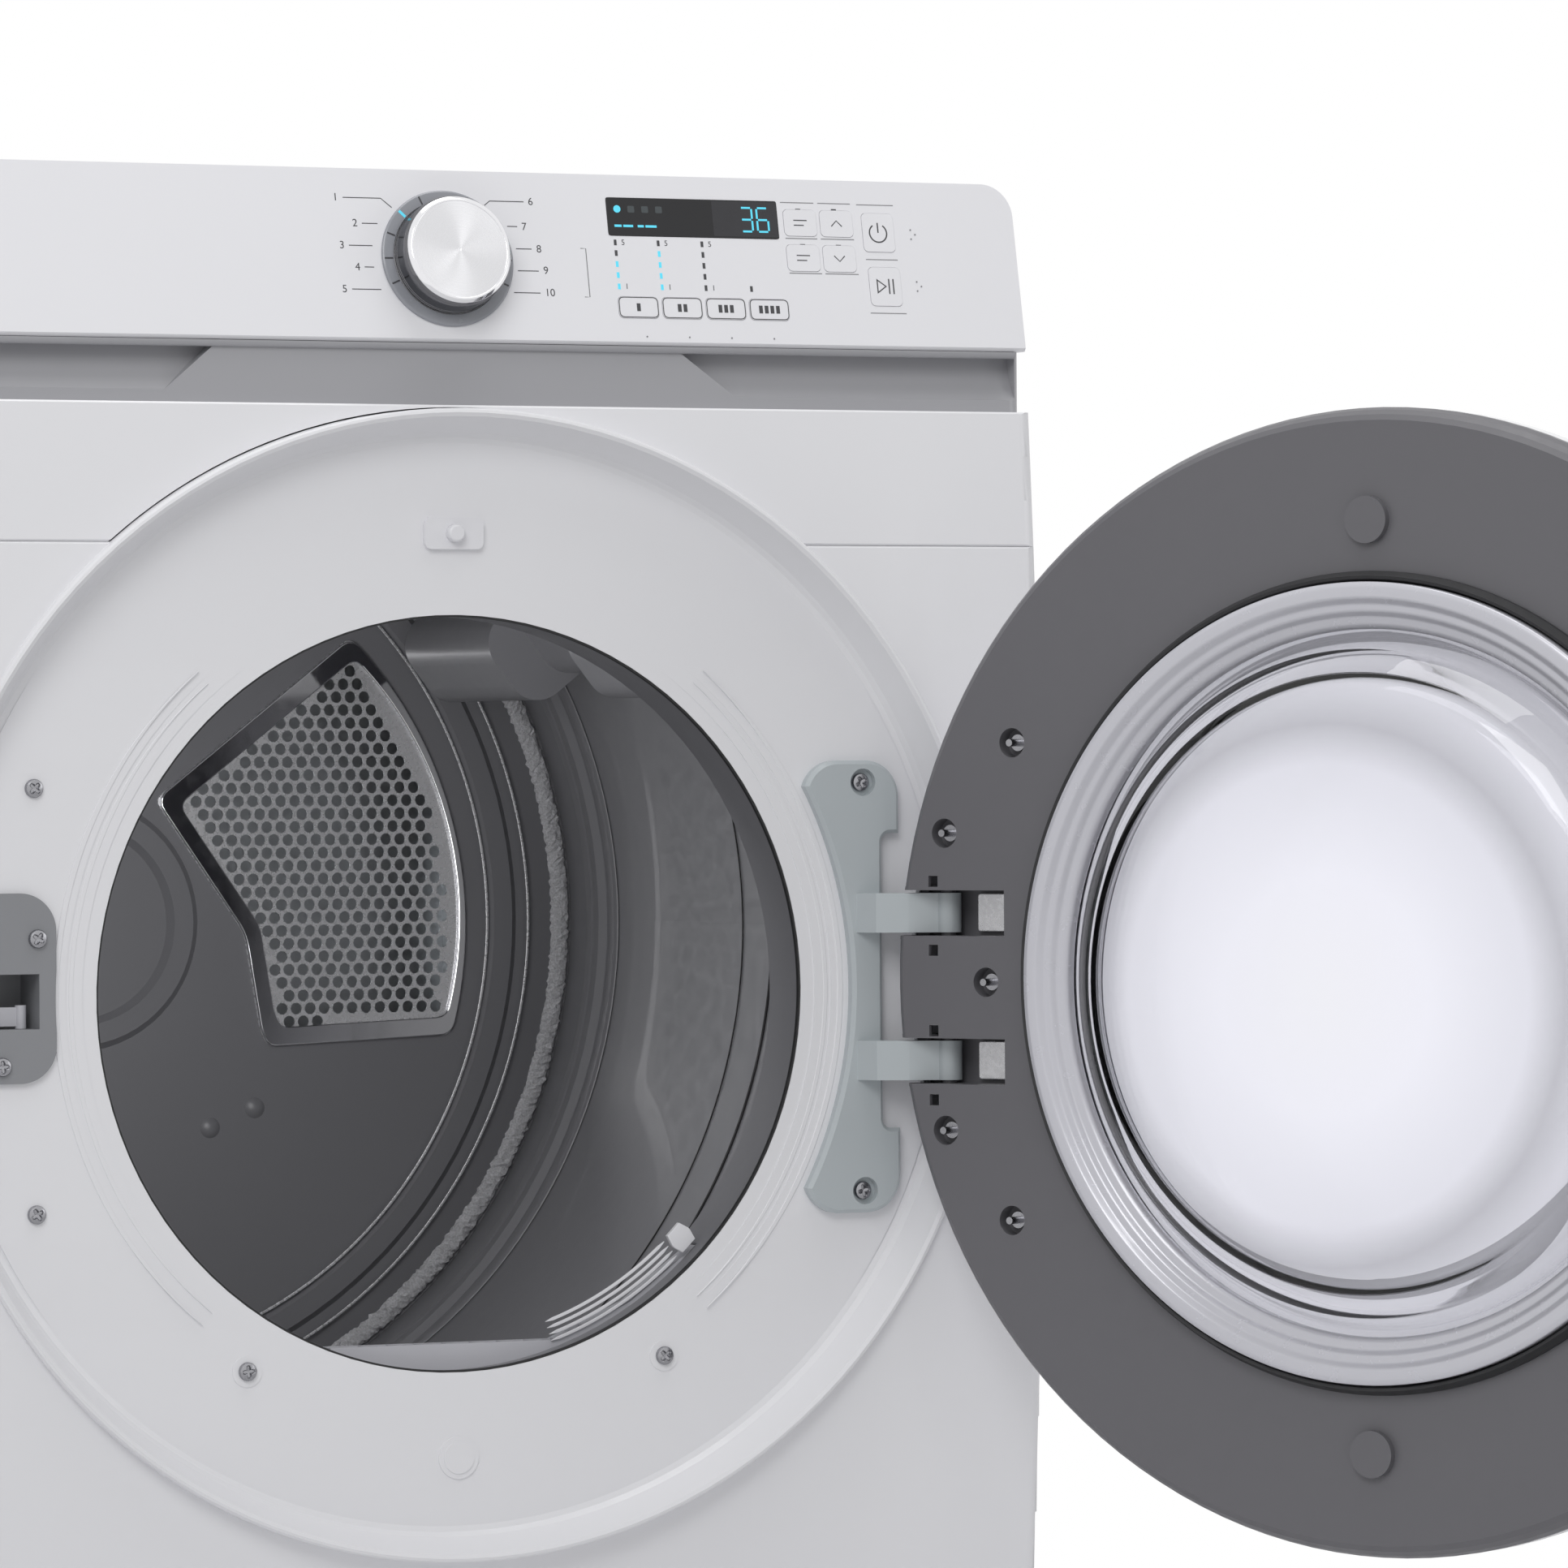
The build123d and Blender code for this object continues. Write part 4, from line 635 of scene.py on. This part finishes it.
turns = random.Random(7)
well_depth, washer_face = 23.0, 3.0
cabinet_spots = [(238, 112, 3.7), (238, -112, 3.7), (-237.5, 33, 4.2), (-257.5, -34, 4.2), (-238, 112, 1.2),
                 (-238, -112, 1.2), (-120.5, -198.7, 0.6), (120.5, -198.7, 0.6)]
screws("cabinet_cross_screws", [(*p, turns.uniform(0, 1.5)) for p in cabinet_spots], 5.0, 3.0, 8.8, recess,
       "cabinet", "cabinet_screws")
wells = [(224.3, 128.0), (268.5, 79.0), (242.0, -2.0), (268.5, -83.0), (226.0, -131.0)]
wells += [(-x, z) for x, z in wells]
screws("door_cross_screws", [(*p, well_depth - washer_face, turns.uniform(0, 1.5)) for p in wells], 4.5,
       3.0, 8.8, door, "door", "door_screws")


# ---------------------------------------------------------------- drum, felts, grille and lint grille
sheet = 1.2
rear_bulk_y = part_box("rear_bulkhead")[1].y / MM - sheet

grille_edge = [(243.8, -44.0), (123.0, -49.0), (118.0, -39.0), (108.0, 20.6), (50.6, 103.0), (178.3, 202.0)]


def arc_through(a, m, b, steps=14):
    """Points on the circle through a, m and b, with a and b left out."""
    ax, ay = a
    bx, by = m
    cx, cy = b
    d = 2 * (ax * (by - cy) + bx * (cy - ay) + cx * (ay - by))
    aa, bb, cc = ax ** 2 + ay ** 2, bx ** 2 + by ** 2, cx ** 2 + cy ** 2
    ux = (aa * (by - cy) + bb * (cy - ay) + cc * (ay - by)) / d
    uy = (aa * (cx - bx) + bb * (ax - cx) + cc * (bx - ax)) / d
    r = math.hypot(ax - ux, ay - uy)
    t0, t1 = math.atan2(ay - uy, ax - ux), math.atan2(cy - uy, cx - ux)
    middle = (math.atan2(by - uy, bx - ux) - t0) % (2 * math.pi)
    t1 = t0 + (t1 - t0) % (2 * math.pi)
    if middle > t1 - t0:
        t1 -= 2 * math.pi
    return [(ux + r * math.cos(t0 + (t1 - t0) * k / steps), uy + r * math.sin(t0 + (t1 - t0) * k / steps))
            for k in range(1, steps)]


def inside(p, outline, margin):
    """True if p lies in the outline and at least margin from its edge."""
    x, y = p
    hit, near = False, 1e9
    for i in range(len(outline)):
        (x0, y0), (x1, y1) = outline[i - 1], outline[i]
        if (y0 > y) != (y1 > y) and x < (x1 - x0) * (y - y0) / (y1 - y0) + x0:
            hit = not hit
        ex, ey = x1 - x0, y1 - y0
        t = max(0, min(1, ((x - x0) * ex + (y - y0) * ey) / (ex * ex + ey * ey)))
        near = min(near, math.hypot(x - x0 - t * ex, y - y0 - t * ey))
    return hit and near >= margin


curve_back = arc_through(grille_edge[0], (234.0, 121.0), grille_edge[-1])
grille_outline = grille_edge + curve_back[::-1]
pitch, hole_r, solid_border = 9.2, 3.7, 13.5
hole_spots = []
for j in range(40):
    for i in range(30):
        p = (45 + pitch * (i + 0.5 * (j % 2)), -50 + pitch * 0.866 * j)
        if inside(p, grille_outline, solid_border):
            hole_spots.append(p)
grille_place = basis((0, rear_bulk_y, opening_z), (0, -1, 0))
grille_holes = [ring_outline(x, z, hole_r, 10) for x, z in hole_spots]
plate("grille_sheet", rounded(grille_outline, 6.0, 4), grille_holes, 0.0, sheet, grille_place, "cabinet",
      mat["stainless"], node="heater_grille", replaces=("heater_grille",), flat=True)
middle_x = sum(x for x, _ in grille_outline) / len(grille_outline)
middle_z = sum(z for _, z in grille_outline) / len(grille_outline)
rim_share = 0.90
inner_edge = [(middle_x + (x - middle_x) * rim_share, middle_z + (z - middle_z) * rim_share)
              for x, z in grille_outline]
plate("grille_rim", rounded(grille_outline, 9.0, 5), [rounded(inner_edge, 7.0, 5)], sheet, 3.6, grille_place,
      "cabinet", chrome, bevel=0.8)

# the rear felt's fuzzy edge, seen between the rear wall and the drum
fuzz = random.Random(11)
felt_r = (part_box("drum_felts")[1].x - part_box("drum_felts")[0].x) / 2 / MM
felt_h = -(rear_bulk_y - 21)
fuzz_spread = 0.45
verts, faces = [], []
turns_round, section = 1100, 7
for k in range(turns_round):
    a = 2 * math.pi * k / turns_round
    for i in range(section):
        t = math.pi * i / (section - 1)
        rr = felt_r - 8.0 - 5.6 * math.cos(t) + fuzz.gauss(0, fuzz_spread)
        hh = felt_h + 3.2 * math.sin(t) + fuzz.gauss(0, fuzz_spread)
        verts.append((rr * math.cos(a), rr * math.sin(a), hh))
for k in range(turns_round):
    n = (k + 1) % turns_round
    for i in range(section - 1):
        faces.append((k * section + i, n * section + i, n * section + i + 1, k * section + i + 1))
    faces.append((k * section + section - 1, n * section + section - 1, n * section, k * section))
felt_light = surface("felt_fuzz", (0.52, 0.52, 0.54), 0.95, vary=0.55, scale=900, bump=0.8, depth=0.0008)
piece("felt_fuzz", verts, faces, drum, "cabinet", felt_light, flat=True)


def arc_strip(name, r, w, start, end, z0, z1, place, body, material, steps=60, ends=0.25):
    """A raised strip along a circle, thinner towards its two ends."""
    inner, outer = [], []
    for k in range(steps + 1):
        t = k / steps
        a = math.radians(start + (end - start) * t)
        grow = min(1.0, min(t, 1 - t) / ends + 0.12) * w / 2
        inner.append(((r - grow) * math.cos(a), (r - grow) * math.sin(a)))
        outer.append(((r + grow) * math.cos(a), (r + grow) * math.sin(a)))
    return plate(name, outer + inner[::-1], [], z0, z1, place, body, material, bevel=min(0.25, (z1 - z0) / 3))


# soft double edge of the side pads round the opening
pad_half_angle = 50
for side, middle_angle in (("right", 0.0), ("left", 180.0)):
    for label, r, w, low, high in (("inner", 218.0, 2.4, 0.0, 0.9), ("outer", 226.5, 3.0, 0.7, 1.75)):
        arc_strip(f"pad_edge_{side}_{label}", r, w, middle_angle - pad_half_angle,
                  middle_angle + pad_half_angle, low, high, recess, "cabinet", mat["white_paint"])

# painted shade: a thin black ring in the gap between the panel's opening and the bulkhead's tunnel
gap_in, gap_out = opening_r - 1.2, opening_r - 0.1
lathe("opening_gap_shade", [(gap_in, -0.6), (gap_out, -0.6), (gap_out, -3.4), (gap_in, -3.4)], recess, "cabinet",
      shadow_gap, steps=256)

# raised rolled lines on the rear wall, coloured bright stainless as painted highlights, and painted shade in the
# seams of the drum shell
for name, r in (("rear_wall_line", 267.0), ("rear_rim_line", 294.4)):
    lathe(name, rounded([(r - 0.8, 0.0), (r + 0.8, 0.0), (r + 0.8, 0.9), (r - 0.8, 0.9)], 0.3, 3),
          basis((0, rear_bulk_y - 4.0, drum_z), (0, -1, 0)), "cabinet", mat["stainless"], steps=256)
shell_r = 316.4
seam_r, bead_r = shell_r - 0.5, shell_r - 2.2
# painted shade: thin black rings in the seams of the drum shell
for name, y, w in (("drum_seam_rear", 1.0, 1.0), ("drum_seam_front", -41.4, 2.4)):
    low, high = -y - w / 2, -y + w / 2
    lathe(name, [(seam_r, low), (shell_r, low), (shell_r, high), (seam_r, high)], drum, "drum", shadow_gap,
          steps=256)
for y in (196.0, 232.0):
    bead = [(bead_r, -y - 4), (shell_r, -y - 7), (shell_r, -y + 7), (bead_r, -y + 4)]
    lathe(f"drum_bead_{int(y)}", rounded(bead, 2.0, 4), drum, "drum", mat["drum_steel"], steps=256)

# curved ribs and end block of the lint grille
filter_h = -(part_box("lint_filter")[0].y / MM - floor_y)
first_rib_r, rib_pitch, rib_w = 188.6, 3.6, 1.7
for k in range(4):
    arc_strip(f"lint_rib_{k + 1}", first_rib_r + rib_pitch * k, rib_w, -72.0, -47.0, filter_h, filter_h + 1.6,
              recess, "filter", mat["fascia_white"], ends=0.06)
arc_strip("lint_end_block", 193.6, 13.0, -46.6, -42.6, filter_h, filter_h + 3.4, recess, "filter",
          mat["fascia_white"], steps=8, ends=0.01)

# bright floor of the two hinge slots in the door
arm_z = 40.4
for name, sign in (("hinge_slot_floor_upper", 1), ("hinge_slot_floor_lower", -1)):
    v = sign * arm_z - (door_z - opening_z)
    plate(name, box_outline(231.0, 262.0, v - 10.5, v + 10.5, 2.0), [], 37.0, 40.8, door, "door",
          mat["stainless"], bevel=0.6)

# two small pressed marks low on the rear wall
mark_dome = [(0.0, 0.0), (6.4, 0.0), (4.6, 1.5), (2.0, 2.4), (0.0, 2.6)]
for name, x, z in (("rear_wall_mark_a", 85.3, -98.0), ("rear_wall_mark_b", 114.4, -86.5)):
    mark_place = grille_place @ Matrix.Translation((x * MM, z * MM, 0))
    lathe(name, mark_dome, mark_place, "cabinet", mat["drum_steel"], steps=40)

# rounded lip under the panel moulding, a closed half round
lip_steps = 12
lip_half_w, lip_drop = 2.7, 3.6
lip_profile = [(lip_y + 3.3 - lip_half_w * math.cos(math.pi * k / lip_steps),
                lip_z - 0.4 - lip_drop * math.sin(math.pi * k / lip_steps)) for k in range(lip_steps + 1)]
half = (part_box("control_fascia")[1].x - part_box("control_fascia")[0].x) / 2 / MM - 6
verts = [(x, y, z) for x in (-half, half) for y, z in lip_profile]
count = len(lip_profile)
faces = [(i, i + 1, count + i + 1, count + i) for i in range(count - 1)]
faces.append((count - 1, 0, count, 2 * count - 1))
faces += [tuple(reversed(range(count))), tuple(range(count, 2 * count))]
piece("fascia_lip", verts, faces, Matrix(), "cabinet", mat["band_grey"])

# ---------------------------------------------------------------- stage, light and camera
floor_size = 2.2
bpy.ops.mesh.primitive_circle_add(vertices=96, radius=floor_size, fill_type="NGON",
                                  location=(0, -0.2, -0.0005))
ground = bpy.context.object
ground.name = "floor"
floor_mat, tree, bsdf = node_material("floor_pale")
bsdf.inputs["Base Color"].default_value = (0.86, 0.86, 0.87, 1)
bsdf.inputs["Roughness"].default_value = 0.8
ground.data.materials.append(floor_mat)

world = bpy.data.worlds.new("studio")
bpy.context.scene.world = world
world.use_nodes = True
tree = world.node_tree
back = tree.nodes["Background"]
path = tree.nodes.new("ShaderNodeLightPath")
seen = tree.nodes.new("ShaderNodeMath")
seen.operation = "MAXIMUM"
link(tree, path.outputs["Is Camera Ray"], seen.inputs[0])
link(tree, path.outputs["Is Transmission Ray"], seen.inputs[1])
gloss = tree.nodes.new("ShaderNodeMath")
gloss.operation = "MAXIMUM"
link(tree, seen.outputs[0], gloss.inputs[0])
link(tree, path.outputs["Is Glossy Ray"], gloss.inputs[1])
level = tree.nodes.new("ShaderNodeMapRange")
level.inputs["To Min"].default_value = 0.42
level.inputs["To Max"].default_value = 1.0
link(tree, gloss.outputs[0], level.inputs["Value"])
link(tree, level.outputs["Result"], back.inputs["Strength"])
back.inputs["Color"].default_value = (1, 1, 1, 1)


def lamp(name, place, target, size, power):
    """A square soft lamp at place, turned to the target."""
    data = bpy.data.lights.new(name, "AREA")
    data.energy = power
    data.shape = "RECTANGLE"
    data.size = size
    data.size_y = size
    obj = bpy.data.objects.new(name, data)
    bpy.context.scene.collection.objects.link(obj)
    obj.location = place
    obj.rotation_euler = (Vector(target) - Vector(place)).to_track_quat("-Z", "Y").to_euler()
    return obj


lamp("key", (-1.6, -2.6, 2.6), (0, -0.2, 0.6), 1.6, 36)
lamp("top", (0.2, -0.6, 2.9), (0.1, -0.3, 0.6), 1.4, 18)
lamp("fill", (2.6, -2.2, 1.2), (0.2, -0.3, 0.6), 1.2, 6)
lamp("drum_fill", (-0.1, -0.22, 0.62), (0.06, 0.28, 0.56), 0.3, 1.1)

camera_data = bpy.data.cameras.new("camera")
camera_place = (-1.6167, -4.3874, 0.6612)
camera_data.sensor_width = 36.0
camera_data.lens = 186.34
camera_data.clip_end = 60
camera = bpy.data.objects.new("camera", camera_data)
bpy.context.scene.collection.objects.link(camera)
bpy.context.scene.camera = camera
yaw, pitch_down, roll = (math.radians(a) for a in (24.0685, 0.153, -0.369))
level_share = math.cos(pitch_down)
forward = Vector((math.sin(yaw) * level_share, math.cos(yaw) * level_share, -math.sin(pitch_down)))
right = Vector((math.cos(yaw), -math.sin(yaw), 0))
up = right.cross(forward)
right, up = math.cos(roll) * right + math.sin(roll) * up, -math.sin(roll) * right + math.cos(roll) * up
turned = Matrix((right, up, -forward)).transposed().to_4x4()
turned.translation = Vector(camera_place)
camera.matrix_world = turned

bpy.context.scene.view_settings.view_transform = "Standard"
